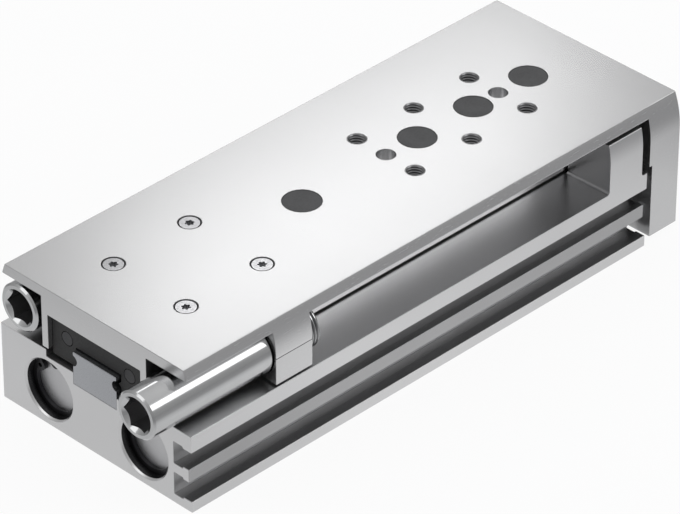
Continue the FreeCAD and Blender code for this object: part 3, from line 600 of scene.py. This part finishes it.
def spun(name: str, profile: Iterable[tuple[float, float]], steps: int = 96) -> Piece:
    """Spin a profile into a closed solid that stands along Z through the origin.

    Args:
        name: The piece's name.
        profile: Its corners as (radius, height). A ring repeats its first corner at the end.
        steps: Faces round the axis.

    Returns:
        The piece.
    """
    piece = chain(name, profile)
    with editing(piece):
        bpy.ops.mesh.select_all(action="SELECT")
        bpy.ops.mesh.spin(steps=steps, angle=math.tau, center=(0, 0, 0), axis=(0, 0, 1))
        weld(SAME_POINT)
        bpy.ops.mesh.normals_make_consistent(inside=False)
    return piece


def chain(name: str, profile: Iterable[tuple[float, float]]) -> Piece:
    """Extrude one vertex from corner to corner.

    Args:
        name: The piece's name.
        profile: The corners in order, as (radius, height).

    Returns:
        The piece, a line of edges.
    """
    corners = [Vector((radius, 0, height)) for radius, height in profile]
    deselect()
    bpy.ops.mesh.primitive_plane_add(size=MM, location=corners[0])
    piece = placed(name)
    with editing(piece):
        bpy.ops.mesh.select_mode(type="VERT")
        bpy.ops.mesh.select_all(action="SELECT")
        bpy.ops.mesh.merge(type="CENTER")
        for start, end in zip(corners, corners[1:]):
            bpy.ops.mesh.extrude_vertices_move(TRANSFORM_OT_translate={"value": end - start})
    return piece


def prism(name: str, corners: int, radius: float, span: tuple[float, float], top: float | None = None,
          aside: Vector = Vector(ORIGIN)) -> Piece:
    """Straight or tapering prism along Z, for cutting a recess.

    Args:
        name: The piece's name.
        corners: Corners of its section.
        radius: From the axis to a corner.
        span: Its low and its high end.
        top: From the axis to a corner at the high end, where it tapers.
        aside: Its axis from the origin.

    Returns:
        The piece.
    """
    deselect()
    low, high = span
    bpy.ops.mesh.primitive_cone_add(
        vertices=corners, radius1=radius, radius2=radius if top is None else top, depth=high - low,
        location=aside + Vector((0, 0, (low + high) / 2)))
    return placed(name)


def threaded_rod(name: str, crest: float, root: float, pitch: float, span: tuple[float, float],
                 steps: int = 40) -> Piece:
    """Closed rod with a helical thread, along Z through the origin.

    Args:
        name: The piece's name.
        crest: Radius of the thread's crest.
        root: Radius of its root.
        pitch: Rise of each turn.
        span: Its low and its high end.
        steps: Faces round the axis.

    Returns:
        The rod.
    """
    low, high = span
    start = low - 2 * pitch
    flat = pitch * 0.12
    half = start + pitch / 2
    rod = chain(name, [(root, start), (root, start + flat), (crest, half), (crest, half + flat),
                       (root, start + pitch)])
    turns = math.ceil((high - low) / pitch) + 4
    apply(rod, "SCREW", axis="Z", angle=math.tau, screw_offset=pitch, iterations=turns, steps=steps,
          render_steps=steps, use_merge_vertices=True, merge_threshold=JOINED_POINT)
    with editing(rod):
        weld(JOINED_POINT)
        for height, below in ((low, True), (high, False)):
            bpy.ops.mesh.select_all(action="SELECT")
            bpy.ops.mesh.bisect(plane_co=(0, 0, height), plane_no=(0, 0, 1), use_fill=True,
                                threshold=SAME_POINT, clear_inner=below, clear_outer=not below)
        weld(SAME_POINT)
        bpy.ops.mesh.normals_make_consistent(inside=False)
    return rod


def second_finish(piece: Piece, finish: Material,
                  test: Callable[[Vector], bool]) -> None:
    """Give some faces of a dressed piece another finish.

    Args:
        piece: The piece.
        finish: The other finish.
        test: Says whether a face with a given centre gets it.
    """
    piece.data.materials.append(finish)
    last = len(piece.data.materials) - 1
    for face in piece.data.polygons:
        if test(face.center):
            face.material_index = last


def dress_node(node: str, finish: Material) -> None:
    """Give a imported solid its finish, and leave its shape as it is.

    Args:
        node: The solid.
        finish: Its material.
    """
    piece = frame["nodes"][node]
    if not piece.material_slots:
        piece.data.materials.append(finish)
    for holder in piece.material_slots:
        holder.material = finish
    log.info("%s: dressed", node)


def copy_at(source: Piece, name: str, place: Matrix) -> Piece:
    """Copy a piece, mesh and all, to another place.

    Args:
        source: The piece modelled once.
        name: The copy's name.
        place: Where its mesh goes.

    Returns:
        The copy.
    """
    piece = source.copy()
    piece.data = source.data.copy()
    piece.name = piece.data.name = name
    bpy.context.collection.objects.link(piece)
    piece.data.transform(place)
    return piece


def put_copies(source: Piece, places: Iterable[tuple[str, Matrix]], body: Body,
               finish: Material) -> list[Piece]:
    """Copy a piece to several places and dress each copy.

    Args:
        source: The piece modelled once.
        places: Each copy's name and where its mesh goes.
        body: The body that they ride on.
        finish: Their material.

    Returns:
        The copies.
    """
    copies = [copy_at(source, name, place) for name, place in places]
    for piece in copies:
        hand_over(piece, body, finish)
    return copies


def both(half: float) -> tuple[tuple[str, float], tuple[str, float]]:
    """Name both sides and give the distance of each from the middle."""
    return ("left", half), ("right", -half)


@dataclass(frozen=True)
class SoftBox:
    """One lamp of the studio."""

    name: str
    place: Triple
    aim: Triple
    size: tuple[float, float]
    power: float

    def hang(self) -> None:
        """Hang the lamp at its place, facing its aim."""
        data = bpy.data.lights.new(self.name, "AREA")
        data.shape = "RECTANGLE"
        data.size, data.size_y = self.size
        data.energy = self.power
        box = bpy.data.objects.new(self.name, data)
        bpy.context.collection.objects.link(box)
        box.location = self.place
        box.rotation_euler = (Vector(self.aim) - Vector(self.place)).to_track_quat("-Z", "Y").to_euler()


@dataclass(frozen=True)
class Studio:
    """Floor, lamps, world and camera."""

    azimuth: float = -45.124
    elevation: float = 34.346
    roll: float = 0.103
    aside: float = -1.466 * MM
    above: float = 1.482 * MM
    distance: float = 1238.481 * MM
    lens: float = 267.15
    sensor: float = 36.0
    clip: tuple[float, float] = (0.05, 20.0)
    target: Triple = (1 * MM, 0.0, 20 * MM)
    floor_half: float = 3.0
    floor_colour: tuple[float, ...] = (0.86, 0.86, 0.87, 1)
    floor_roughness: float = 0.9
    floor_specular: float = 0.1
    footprint: Triple = (80 * MM, 33 * MM, 1.0)
    # The floor's painted glow, seen only in reflections: its greys along X, its fall with distance from the
    # footprint, and its shares.
    glow_half: float = 0.15
    glow: tuple[tuple[float, float], ...] = ((0.0, 0.7), (0.28, 0.78), (0.45, 1.0), (0.6, 0.9),
                                             (0.8, 0.8), (1.0, 0.7))
    glow_reach: tuple[float, float] = (0.03, 0.1)
    glow_fall: tuple[float, float] = (1.0, 0.36)
    glow_shares: tuple[float, float] = (0.8, 0.92)
    sky_colour: tuple[float, ...] = (0.97, 0.98, 1.0, 1)
    sky_strength: float = 0.75
    sky: tuple[tuple[float, float], ...] = ((0.0, 0.38), (0.34, 0.44), (0.56, 0.55), (1.0, 0.9))
    lamps: tuple[SoftBox, ...] = (
        SoftBox("soft_box_behind", (0.298, 0.286, 0.33), (0.298, -0.014, 0.04), (0.22, 0.05), 0.092),
        SoftBox("soft_box_left", (-0.9, 0.3, 0.7), (0.0, 0.0, 0.03), (0.6, 0.6), 1.0),
        SoftBox("soft_box_right", (0.46, -0.53, 0.46), (0.46, -0.026, 0.03), (0.64, 0.27), 1.02))

    def camera(self) -> None:
        """Put the camera at the photograph's viewing angle."""
        turn, tilt, roll = (math.radians(angle) for angle in (self.azimuth, self.elevation, self.roll))
        right = Vector((math.cos(turn), math.sin(turn), 0))
        back = Vector((math.sin(turn) * math.cos(tilt), -math.cos(turn) * math.cos(tilt), math.sin(tilt)))
        up = back.cross(right)
        rolled_right = right * math.cos(roll) + up * math.sin(roll)
        rolled_up = up * math.cos(roll) - right * math.sin(roll)
        place = (Vector(self.target) - rolled_right * self.aside - rolled_up * self.above
                 + back * self.distance)
        data = bpy.data.cameras.new("camera")
        data.lens = self.lens
        data.sensor_width = self.sensor
        data.clip_start, data.clip_end = self.clip
        seen = bpy.data.objects.new("camera", data)
        bpy.context.collection.objects.link(seen)
        turned = Matrix((rolled_right, rolled_up, back)).transposed().to_4x4()
        seen.matrix_world = Matrix.Translation(place) @ turned
        bpy.context.scene.camera = seen

    def floor(self) -> None:
        """Lay a pale floor that keeps the object's shadow and that, in reflections only, glows with painted
        light, graded along X and brightest near the object.
        """
        deselect()
        bpy.ops.mesh.primitive_plane_add(size=2 * self.floor_half, location=(0, 0, 0))
        ground = bpy.context.object
        ground.name = "floor"
        shader = Shader("pale_floor")
        inputs = shader.surface.inputs
        inputs["Base Color"].default_value = self.floor_colour
        inputs["Roughness"].default_value = self.floor_roughness
        inputs["Specular IOR Level"].default_value = self.floor_specular
        # Painted light: a glow that only reflections see, graded along X and fading away from the object's
        # footprint.
        along = shader.span(shader.apart(shader.place()).outputs["X"], (-self.glow_half, self.glow_half))
        past = shader.vector("SUBTRACT", shader.vector("ABSOLUTE", shader.place()), self.footprint)
        away = shader.vector("LENGTH", shader.vector("MAXIMUM", past))
        glow = shader.node("Emission")
        shader.join(shader.greys(along, self.glow), glow.inputs["Color"])
        shader.join(shader.span(away, self.glow_reach, self.glow_fall), glow.inputs["Strength"])
        shader.show(shader.surface, glow, shader.node("Emission"), self.glow_shares)
        ground.data.materials.append(shader.material)

    def world(self) -> None:
        """Put a soft studio sky behind a white background."""
        world = bpy.data.worlds.new("studio")
        bpy.context.scene.world = world
        nodes = Nodes(world, "World Output")
        plain = nodes.tree.nodes["Background"]
        plain.inputs["Color"].default_value = self.sky_colour
        plain.inputs["Strength"].default_value = self.sky_strength
        height = nodes.apart(nodes.node("TexCoord").outputs["Generated"]).outputs["Z"]
        mirrored = nodes.node("Background")
        nodes.join(nodes.greys(height, self.sky), mirrored.inputs["Color"])
        nodes.show(plain, mirrored, nodes.node("Background"))

    def build(self) -> None:
        """Set up the whole studio."""
        self.floor()
        self.world()
        for lamp in self.lamps:
            lamp.hang()
        self.camera()


@dataclass(frozen=True)
class Thread:
    """A tapped hole's thread, modelled once with its mouth at the origin and copied into each hole."""

    size: float = 5.0 * MM
    pitch: float = 0.8 * MM
    depth: float = 7.4 * MM
    mouth: float = 0.45 * MM
    inset: float = 0.02 * MM
    play: float = 0.01 * MM
    wall: float = 0.08 * MM
    rise: float = 0.45 * MM

    def model(self) -> Piece:
        """Model the thread as a closed tube with a countersunk mouth.

        Returns:
            The tube, below the origin along Z.
        """
        outside = self.size / 2 - self.play
        crest = outside - self.wall
        root = outside - self.rise
        tube = spun("thread_model", [(0, -self.depth), (outside, -self.depth), (outside, -self.inset),
                                     (0, -self.inset)], 48)
        boolean(tube, threaded_rod("thread_cutter", crest, root, self.pitch, (-self.depth - MM, MM)))
        boolean(tube, prism("mouth_cutter", 48, root - self.mouth, (-2 * self.mouth, self.mouth),
                            outside + self.mouth / 2))
        smooth(tube)
        return tube


@dataclass
class Housing:
    """The slotted housing with the threads of its base and its air ports."""

    finish: Material
    slot_painted_shade: Material
    bore_painted_shade: Material
    thread_painted_shade: Material
    thread: Piece
    front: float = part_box("housing")[0][0]
    side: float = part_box("housing_port_side")[1][1]
    bore: float = 16 * MM
    bore_side: float = 16.5 * MM
    bore_groove: float = 0.6 * MM
    mouth: float = 0.5 * MM
    rib_setback: float = 0.9 * MM
    slot_floor: float = 26.9 * MM
    slot_top: float = 19 * MM
    base_threads: tuple[float, ...] = (19 * MM, 59 * MM, 99 * MM, 139 * MM)
    ports: tuple[float, ...] = (10.4 * MM, 136.05 * MM)
    port_height: float = 10.3 * MM
    edge: float = 0.15 * MM

    def shell(self) -> None:
        """Join the housing's solids into the one extrusion that they are, with its edges broken."""
        nodes = [name for name in frame["nodes"] if name.startswith("housing")]
        piece = joined_copy(nodes, "housing_extrusion")
        break_edges(piece, self.edge)
        hand_over(piece, Body.BASE, self.finish, nodes)
        # Painted shade on the bore walls and their grooves.
        second_finish(piece, self.bore_painted_shade, self.in_bore)
        # Painted shade on the sensor slots, the rib between them and their floor.
        second_finish(piece, self.slot_painted_shade, self.in_slot)

    def in_slot(self, point: Vector) -> bool:
        """Say whether a point lies in a sensor slot, on the rib between them or on the slots' floor, the
        places that get painted shade.
        """
        return -self.side + self.rib_setback / 2 < point.y < -self.slot_floor and point.z < self.slot_top

    def in_bore(self, point: Vector) -> bool:
        """Say whether a point lies on a bore's wall or in its grooves, behind the mouth's chamfer, where
        painted shade goes.
        """
        across = math.hypot(abs(point.y) - self.bore_side, point.z - self.port_height)
        return across < self.bore / 2 + self.bore_groove and point.x > self.front + self.mouth

    def threads(self) -> None:
        """Put a thread in each tapped hole of the base and in each air port."""
        below = Matrix.Rotation(math.pi, 4, "X")
        outward = Matrix.Rotation(-math.pi / 2, 4, "X")
        places = [(f"base_thread_{number}", Matrix.Translation((self.front + along, 0, 0)) @ below)
                  for number, along in enumerate(self.base_threads)]
        for number, along in enumerate(self.ports):
            mouth = Matrix.Translation((self.front + along, self.side, self.port_height))
            places.append((f"port_thread_{number}", mouth @ outward))
        # The threads carry painted shade.
        put_copies(self.thread, places, Body.BASE, self.thread_painted_shade)

    def build(self) -> None:
        """Build the housing."""
        self.shell()
        self.threads()


@dataclass
class SlideTable:
    """The flat slide with its yoke, its threads and the plugs in its access holes."""

    finish: Material
    thread_painted_shade: Material
    seat_painted_shade: Material
    plug_finish: Material
    thread: Piece
    front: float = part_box("housing")[0][0]
    rear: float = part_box("slide_yoke")[1][0]
    top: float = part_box("slide_table")[1][2]
    thread_rows: tuple[float, ...] = (98 * MM, 118 * MM, 138 * MM)
    half_grid: float = 10 * MM
    yoke_side: float = 20 * MM
    yoke_rows: tuple[float, ...] = (19 * MM, 31 * MM)
    edge: float = 0.15 * MM
    wing: float = 3 * MM
    wing_reach: float = 10 * MM
    wing_bend: float = 0.5
    wing_round: float = 0.35 * MM
    flat_height: float = 30 * MM
    line: float = 0.2 * MM
    line_side: float = 31 * MM
    seat: float = 6 * MM
    seat_play: float = 0.02 * MM
    seat_depth: float = 0.05 * MM

    def plate(self) -> None:
        """Join the slide's solids into the one machined piece that they are, with its edges broken."""
        nodes = [name for name in frame["nodes"] if name.startswith("slide_")]
        piece = joined_copy(nodes, "slide_plate")
        self.round_wings(piece)
        break_edges(piece, self.edge)
        self.part_lugs(piece)
        settle(piece)
        hand_over(piece, Body.SLIDE, self.finish, nodes)
        # Painted shade in the countersinks round the screw heads and in the fine line on each lug.
        second_finish(piece, self.seat_painted_shade, self.in_seat)

    def round_wings(self, piece: Piece) -> None:
        """Round the lower outer edges of the wings."""
        height = self.top - self.wing
        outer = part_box("slide_roof")[1][1] + self.wing_reach
        with editing(piece):
            bpy.ops.mesh.select_mode(type="EDGE")
            mesh = bmesh.from_edit_mesh(piece.data)
            for edge in mesh.edges:
                ends = [vertex.co for vertex in edge.verts]
                low = all(abs(end.z - height) < LEVEL and abs(end.y) > outer for end in ends)
                edge.select_set(low and edge.calc_length() > MM
                                and edge.calc_face_angle(0) > self.wing_bend
                                and abs(ends[0].y - ends[1].y) < LEVEL)
            bmesh.update_edit_mesh(piece.data)
            bpy.ops.mesh.bevel(offset=self.wing_round, segments=3, affect="EDGES", clamp_overlap=False)

    def part_lugs(self, piece: Piece) -> None:
        """Cut the fine line on each lug where the leaning side ends and the milled flat starts."""
        for side in ("left", "right"):
            low, high = (Vector(corner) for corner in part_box(f"slide_lug_{side}"))
            face = high.y if side == "left" else low.y
            deselect()
            bpy.ops.mesh.primitive_cube_add(size=1,
                                            location=((low.x + high.x) / 2, face, self.flat_height))
            bpy.ops.transform.resize(value=(high.x - low.x + MM, self.line, self.line))
            boolean(piece, placed("line_cutter"))

    def in_seat(self, point: Vector) -> bool:
        """Say whether a point lies in a carriage screw's countersink or in the fine line on a lug, the
        places that get painted shade.

        Args:
            point: The point.

        Returns:
            Whether it does.
        """
        across = min(math.hypot(point.x - self.front - along, abs(point.y) - SCREW_SIDE)
                     for along in SCREW_ROWS)
        seat = across < self.seat / 2 + self.seat_play and point.z < self.top - self.seat_depth
        return seat or (abs(point.z - self.flat_height) < 0.7 * self.line and abs(point.y) > self.line_side)

    def threads(self) -> None:
        """Put a thread in each tapped hole of the top and the yoke."""
        rearward = Matrix.Rotation(math.pi / 2, 4, "Y")
        places = [(f"table_thread_{row}_{side}", Matrix.Translation((self.front + along, across, self.top)))
                  for row, along in enumerate(self.thread_rows) for side, across in both(self.half_grid)]
        places += [(f"yoke_thread_{row}_{side}", Matrix.Translation((self.rear, across, height)) @ rearward)
                   for row, height in enumerate(self.yoke_rows) for side, across in both(self.yoke_side)]
        # The threads carry painted shade.
        put_copies(self.thread, places, Body.SLIDE, self.thread_painted_shade)

    def plugs(self) -> None:
        """Round the rims of the moulded plugs."""
        piece = merged_copy("hole_plugs", "moulded_plugs")
        break_edges(piece, self.edge)
        hand_over(piece, Body.SLIDE, self.plug_finish, ["hole_plugs"])

    def build(self) -> None:
        """Build the slide."""
        self.plate()
        self.threads()
        self.plugs()


@dataclass
class Guide:
    """The rail and the carriage on it, with the screws that hold the slide."""

    rail_finish: Material
    block_finish: Material
    plastic_finish: Material
    screw_finish: Material
    small_finish: Material
    front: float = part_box("housing")[0][0]
    plate_front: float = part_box("carriage_end_plate_front")[0][0]
    plate_rear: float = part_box("carriage_end_plate_rear")[1][0]
    head: float = 5.2 * MM
    head_edge: float = 0.05 * MM
    shank: float = 3.0 * MM
    rim: float = 0.25 * MM
    recess: float = 1.2 * MM
    lobes: int = 6
    lobe_ring: float = 0.92 * MM
    lobe: float = 0.34 * MM
    row_turn: float = 23
    side_turn: float = 11
    small_side: float = 10.8 * MM
    small_height: float = 27.45 * MM
    small_socket: float = 0.9 * MM
    small_deep: float = 0.8 * MM
    edge: float = 0.2 * MM

    def rail(self) -> None:
        """Break the rail's edges."""
        piece = merged_copy("guide_rail", "ground_rail")
        break_edges(piece, self.edge)
        hand_over(piece, Body.BASE, self.rail_finish, ["guide_rail"])

    def carriage(self) -> None:
        """Break the edges of the carriage's block and of its plastic end plates."""
        block = merged_copy("carriage_block", "ground_carriage")
        break_edges(block, self.edge)
        hand_over(block, Body.SLIDE, self.block_finish, ["carriage_block"])
        for end in ("front", "rear"):
            node = f"carriage_end_plate_{end}"
            piece = merged_copy(node, f"moulded_end_plate_{end}")
            break_edges(piece, self.edge / 2)
            hand_over(piece, Body.SLIDE, self.plastic_finish, [node])

    def small_screws(self) -> None:
        """Cut a small socket into each screw of the end plates."""
        piece = merged_copy("end_plate_screws", "socketed_small_screws")
        lying = Matrix.Rotation(math.pi / 2, 4, "Y")
        for bottom in (self.plate_front, self.plate_rear):
            for _, across in both(self.small_side):
                cutter = prism("small_socket_cutter", 6, self.small_socket,
                               (-self.small_deep, self.small_deep))
                cutter.data.transform(Matrix.Translation((bottom, across, self.small_height)) @ lying)
                boolean(piece, cutter)
        smooth(piece)
        hand_over(piece, Body.SLIDE, self.plastic_finish, ["end_plate_screws"])
        second_finish(piece, self.small_finish, self.in_small_socket)

    def in_small_socket(self, point: Vector) -> bool:
        """Say whether a point lies on the wall or the floor of a small screw's socket.

        Args:
            point: The point.

        Returns:
            Whether it does.
        """
        across = math.hypot(abs(point.y) - self.small_side, point.z - self.small_height)
        inwards = min(point.x - self.plate_front, self.plate_rear - point.x)
        return across < self.small_socket + self.head_edge and self.rim / 4 < inwards < MM

    def screw(self) -> Piece:
        """Model a countersunk screw with a six-lobed recess, its head's face at the origin.

        Returns:
            The screw, below the origin along Z.
        """
        low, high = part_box("carriage_screws")
        length = high[2] - low[2]
        head, shank = self.head / 2, self.shank / 2
        piece = spun("screw_model", [
            (0, -length), (shank - self.rim, -length), (shank, -length + self.rim),
            (shank, -self.rim - (self.head - self.shank) / 2), (head, -self.rim), (head, -self.head_edge),
            (head - self.head_edge, 0), (0, 0)], 64)
        depth = (-self.recess, MM)
        cutter = prism("recess_cutter", 24, self.lobe_ring, depth)
        for number in range(self.lobes):
            turn = Matrix.Rotation(math.tau * number / self.lobes, 4, "Z")
            aside = turn @ Vector((self.lobe_ring, 0, 0))
            boolean(cutter, prism("lobe_cutter", 16, self.lobe, depth, aside=aside), "UNION")
        boolean(piece, cutter)
        smooth(piece)
        return piece

    def screws(self) -> None:
        """Put a copy of the screw in each countersink."""
        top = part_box("carriage_screws")[1][2]
        model = self.screw()
        places = []
        for row, along in enumerate(SCREW_ROWS):
            for side, across in both(SCREW_SIDE):
                angle = math.radians(self.row_turn * row + self.side_turn * (across > 0))
                mouth = Matrix.Translation((self.front + along, across, top))
                places.append((f"carriage_screw_{row}_{side}", mouth @ Matrix.Rotation(angle, 4, "Z")))
        copies = put_copies(model, places, Body.SLIDE, self.screw_finish)
        bpy.data.objects.remove(model)
        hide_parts("carriage_screws")

    def build(self) -> None:
        """Build the guide."""
        self.rail()
        self.carriage()
        self.small_screws()
        self.screws()


@dataclass
class Stop:
    """A screwed stop: a sleeve with a polished front, a hex socket and a fine thread."""

    side: str
    sleeve_body: Body
    finish: Material
    socket_painted_shade: Material
    groove_painted_shade: Material
    relief_painted_shade: Material
    thread_start: float
    thread_end: float
    polished: float = 12.8 * MM
    thread: float = 13.0 * MM
    pitch: float = 1.0 * MM
    flats: float = 8.0 * MM
    socket: float = 9.0 * MM
    socket_mouth: float = 10.0 * MM
    socket_lead: float = 1.2 * MM
    chamfer: float = 0.5 * MM
    lead: float = 0.2 * MM
    groove: float = 0.45 * MM
    relief: float = 0.6 * MM
    relief_land: float = 0.55 * MM
    crest_play: float = 0.04 * MM
    buffer_play: float = 0.01 * MM

    def build(self) -> None:
        """Model the sleeve from its front to the face that holds its buffer."""
        node = f"{self.side}_stop_sleeve"
        low, high = (Vector(corner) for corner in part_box(node))
        middle = (low + high) / 2
        length = high.x - low.x
        start, end = self.thread_start, self.thread_end
        polished, crest = self.polished / 2, self.thread / 2
        relief = start - self.relief_land
        piece = spun(f"{self.side}_stop_turned", [
            (0, 0), (polished - self.chamfer, 0), (polished, self.chamfer),
            (polished, relief - self.relief), (polished - self.groove, relief - self.relief),
            (polished - self.groove, relief), (polished, relief), (polished, start),
            (crest, start + self.lead), (crest, end - self.lead), (polished, end),
            (polished, length - self.chamfer), (polished - self.chamfer, length), (0, length)], 128)
        cutter = prism("groove_cutter", 96, crest + MM, (start + self.lead, end - self.lead))
        boolean(cutter, threaded_rod("groove_inside", crest + self.crest_play, crest - self.groove,
                                     self.pitch, (start - MM, end + MM), 96))
        boolean(piece, cutter)
        corner = self.flats / 2 / math.cos(math.pi / 6)
        boolean(piece, prism("socket_cutter", 6, corner, (-MM, self.socket)))
        mouth = self.socket_mouth / 2
        boolean(piece, prism("mouth_cutter", 96, mouth + MM, (-MM, MM), mouth - MM))
        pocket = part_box(f"{self.side}_stop_buffer")
        pocket_radius = (pocket[1][1] - pocket[0][1]) / 2 + self.buffer_play
        pocket_start = pocket[0][0] - low.x - self.buffer_play
        boolean(piece, prism("pocket_cutter", 96, pocket_radius, (pocket_start, length + MM)))
        with editing(piece):
            weld(CUT_POINT)
        lying = Matrix.Rotation(math.pi / 2, 4, "Y")
        piece.data.transform(Matrix.Translation((low.x, middle.y, middle.z)) @ lying)
        smooth(piece)
        hand_over(piece, self.sleeve_body, self.finish, [node])

        def within(first: float, last: float, reach: float) -> Callable[[Vector], bool]:
            """Make a test for points between two places along the sleeve and near its axis.

            Args:
                first: Where it starts, from the sleeve's front.
                last: Where it ends.
                reach: How far from the axis it reaches.

            Returns:
                The test.
            """
            return lambda point: (first < point.x - low.x < last
                                  and math.hypot(point.y - middle.y, point.z - middle.z) < reach)

        # Painted shade: the hex socket, the thread grooves and the relief groove are darker than the
        # polished sleeve.
        second_finish(piece, self.socket_painted_shade, within(self.socket_lead, self.socket + MM, corner))
        second_finish(piece, self.groove_painted_shade, within(start, end, crest - self.groove / 3))
        second_finish(piece, self.relief_painted_shade, within(
            relief - 1.5 * self.relief, relief + self.relief / 2, polished - self.groove / 4))


@dataclass(frozen=True)
class Finishes:
    """The finishes of this object's pieces, one for each of the record's slots."""

    housing: Metal = Metal("clear_anodised_housing", (0.66, 0.66, 0.665), 0.3, grain_depth=0.0000006,
                           tone=0.015, patch=0.01)
    slide: Metal = Metal("clear_anodised_slide", (0.63, 0.63, 0.635), 0.27, grain_depth=0.0000001,
                         tone=0.01, patch=0.004)
    rail: Metal = Metal("ground_rail_steel", (0.41, 0.42, 0.44), 0.3, tone=0.03)
    # Darker aluminium: painted shade for the sensor slots, the rib between them and the stops' hex sockets.
    slot: Metal = Metal("painted_shade_slots", (0.42, 0.42, 0.425), 0.35, tone=0.03)
    # Nearly black aluminium: painted shade for the bore walls, the countersink seats, the fine line on each
    # lug and the stops' thread reliefs.
    bore: Metal = Metal("painted_shade_hollows", (0.07, 0.07, 0.072), 0.3)
    # Darker metal: painted shade for the tapped threads and the stops' thread grooves.
    thread: Metal = Metal("painted_shade_threads", (0.22, 0.22, 0.225), 0.35, EVEN, 3000.0)
    carriage: Metal = Metal("ground_carriage_steel", (0.48, 0.5, 0.52), 0.25)
    spring: Metal = Metal("blackened_spring_steel", (0.045, 0.045, 0.048), 0.32, EVEN, 4000.0)
    small_screw: Metal = Metal("blackened_small_screws", (0.03, 0.03, 0.031), 0.5, EVEN, 3000.0)
    screw: Metal = Metal("bright_screw_steel", (0.42, 0.42, 0.43), 0.22, EVEN, 3000.0)
    ball: Metal = Metal("bearing_steel", (0.62, 0.63, 0.65), 0.1, EVEN, 2000.0, 0.0000005)
    rod: Metal = Metal("hard_chromed_rod", (0.66, 0.67, 0.69), 0.12)
    cap: Metal = Metal("turned_cap_aluminium", (0.55, 0.55, 0.56), 0.36, EVEN, 3000.0)
    piston: Metal = Metal("turned_piston_aluminium", (0.68, 0.68, 0.69), 0.3)
    magnet: Moulded = Moulded("sintered_magnet", (0.08, 0.08, 0.085), 0.55)
    plastic: Moulded = Moulded("black_end_plate_plastic", (0.022, 0.022, 0.024), 0.45)
    plug: Moulded = Moulded("grey_plug_plastic", (0.055, 0.055, 0.057), 0.5)
    rubber: Moulded = Moulded("black_seal_rubber", (0.018, 0.018, 0.018), 0.6)
    wear: Moulded = Moulded("filled_wear_plastic", (0.28, 0.2, 0.12), 0.5)
    buffer: Moulded = Moulded("buffer_elastomer", (0.03, 0.03, 0.032), 0.55)

    def stop(self, side: str) -> Material:
        """Polished steel turned about a stop's own axis.

        Args:
            side: advance or retract.

        Returns:
            The material.
        """
        low, high = (Vector(corner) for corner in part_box(f"{side}_stop_sleeve"))
        centre = (low + high) / 2
        return Turned(f"polished_{side}_stop", (0.58, 0.585, 0.59), 0.14, tuple(centre)).material()

    def by_slot(self) -> dict[Slot, Material]:
        """Make each slot's material.

        Returns:
            The materials by slot.
        """
        finishes = {
            Slot.HOUSING: self.housing, Slot.SLIDE: self.slide, Slot.RAIL: self.rail,
            Slot.CARRIAGE: self.carriage, Slot.BALL: self.ball, Slot.PLUG: self.plug,
            Slot.MAGNET: self.magnet, Slot.SCREW: self.screw, Slot.END_PLATE: self.plastic,
            Slot.SEAL: self.rubber, Slot.CAP: self.cap, Slot.SPRING: self.spring,
            Slot.WEAR: self.wear, Slot.ROD: self.rod, Slot.PISTON: self.piston,
            Slot.BUFFER: self.buffer}
        return {slot: finish.material() for slot, finish in finishes.items()}


def main() -> None:
    """Build each piece and the studio."""
    logging.basicConfig(level=logging.INFO, format="%(name)s %(message)s")
    bpy.context.scene.view_settings.view_transform = "Standard"
    finishes = Finishes()
    materials = finishes.by_slot()
    replaced = ("housing", "slide_", "hole_plugs", "guide_rail", "carriage_block", "carriage_end_plate",
                "carriage_screws", "end_plate_screws", "advance_stop_sleeve", "retract_stop_sleeve")
    for row in frame["record"]["subparts"]:
        if not row["node"].startswith(replaced):
            dress_node(row["node"], materials[Slot(row["material_slot"])])
    thread = Thread().model()
    # Painted shade for the tapped threads and the stops' thread grooves.
    tapped = finishes.thread.material()
    # Painted shade for bore walls, countersink seats, lug lines and thread reliefs.
    hollow_shade = finishes.bore.material()
    # Painted shade for the sensor slots, their rib and floor, and the stops' hex sockets.
    milled = finishes.slot.material()
    Housing(materials[Slot.HOUSING], milled, hollow_shade, tapped, thread).build()
    SlideTable(materials[Slot.SLIDE], tapped, hollow_shade, materials[Slot.PLUG], thread).build()
    bpy.data.objects.remove(thread)
    Guide(materials[Slot.RAIL], materials[Slot.CARRIAGE], materials[Slot.END_PLATE],
          materials[Slot.SCREW], finishes.small_screw.material()).build()
    Stop("advance", Body.ADVANCE_SLEEVE, finishes.stop("advance"), milled, tapped, hollow_shade,
         38.95 * MM, 53.6 * MM).build()
    Stop("retract", Body.RETRACT_SLEEVE, finishes.stop("retract"), milled, tapped, hollow_shade,
         10.4 * MM, 34.4 * MM).build()
    Studio().build()


if __name__ == "__main__":
    main()
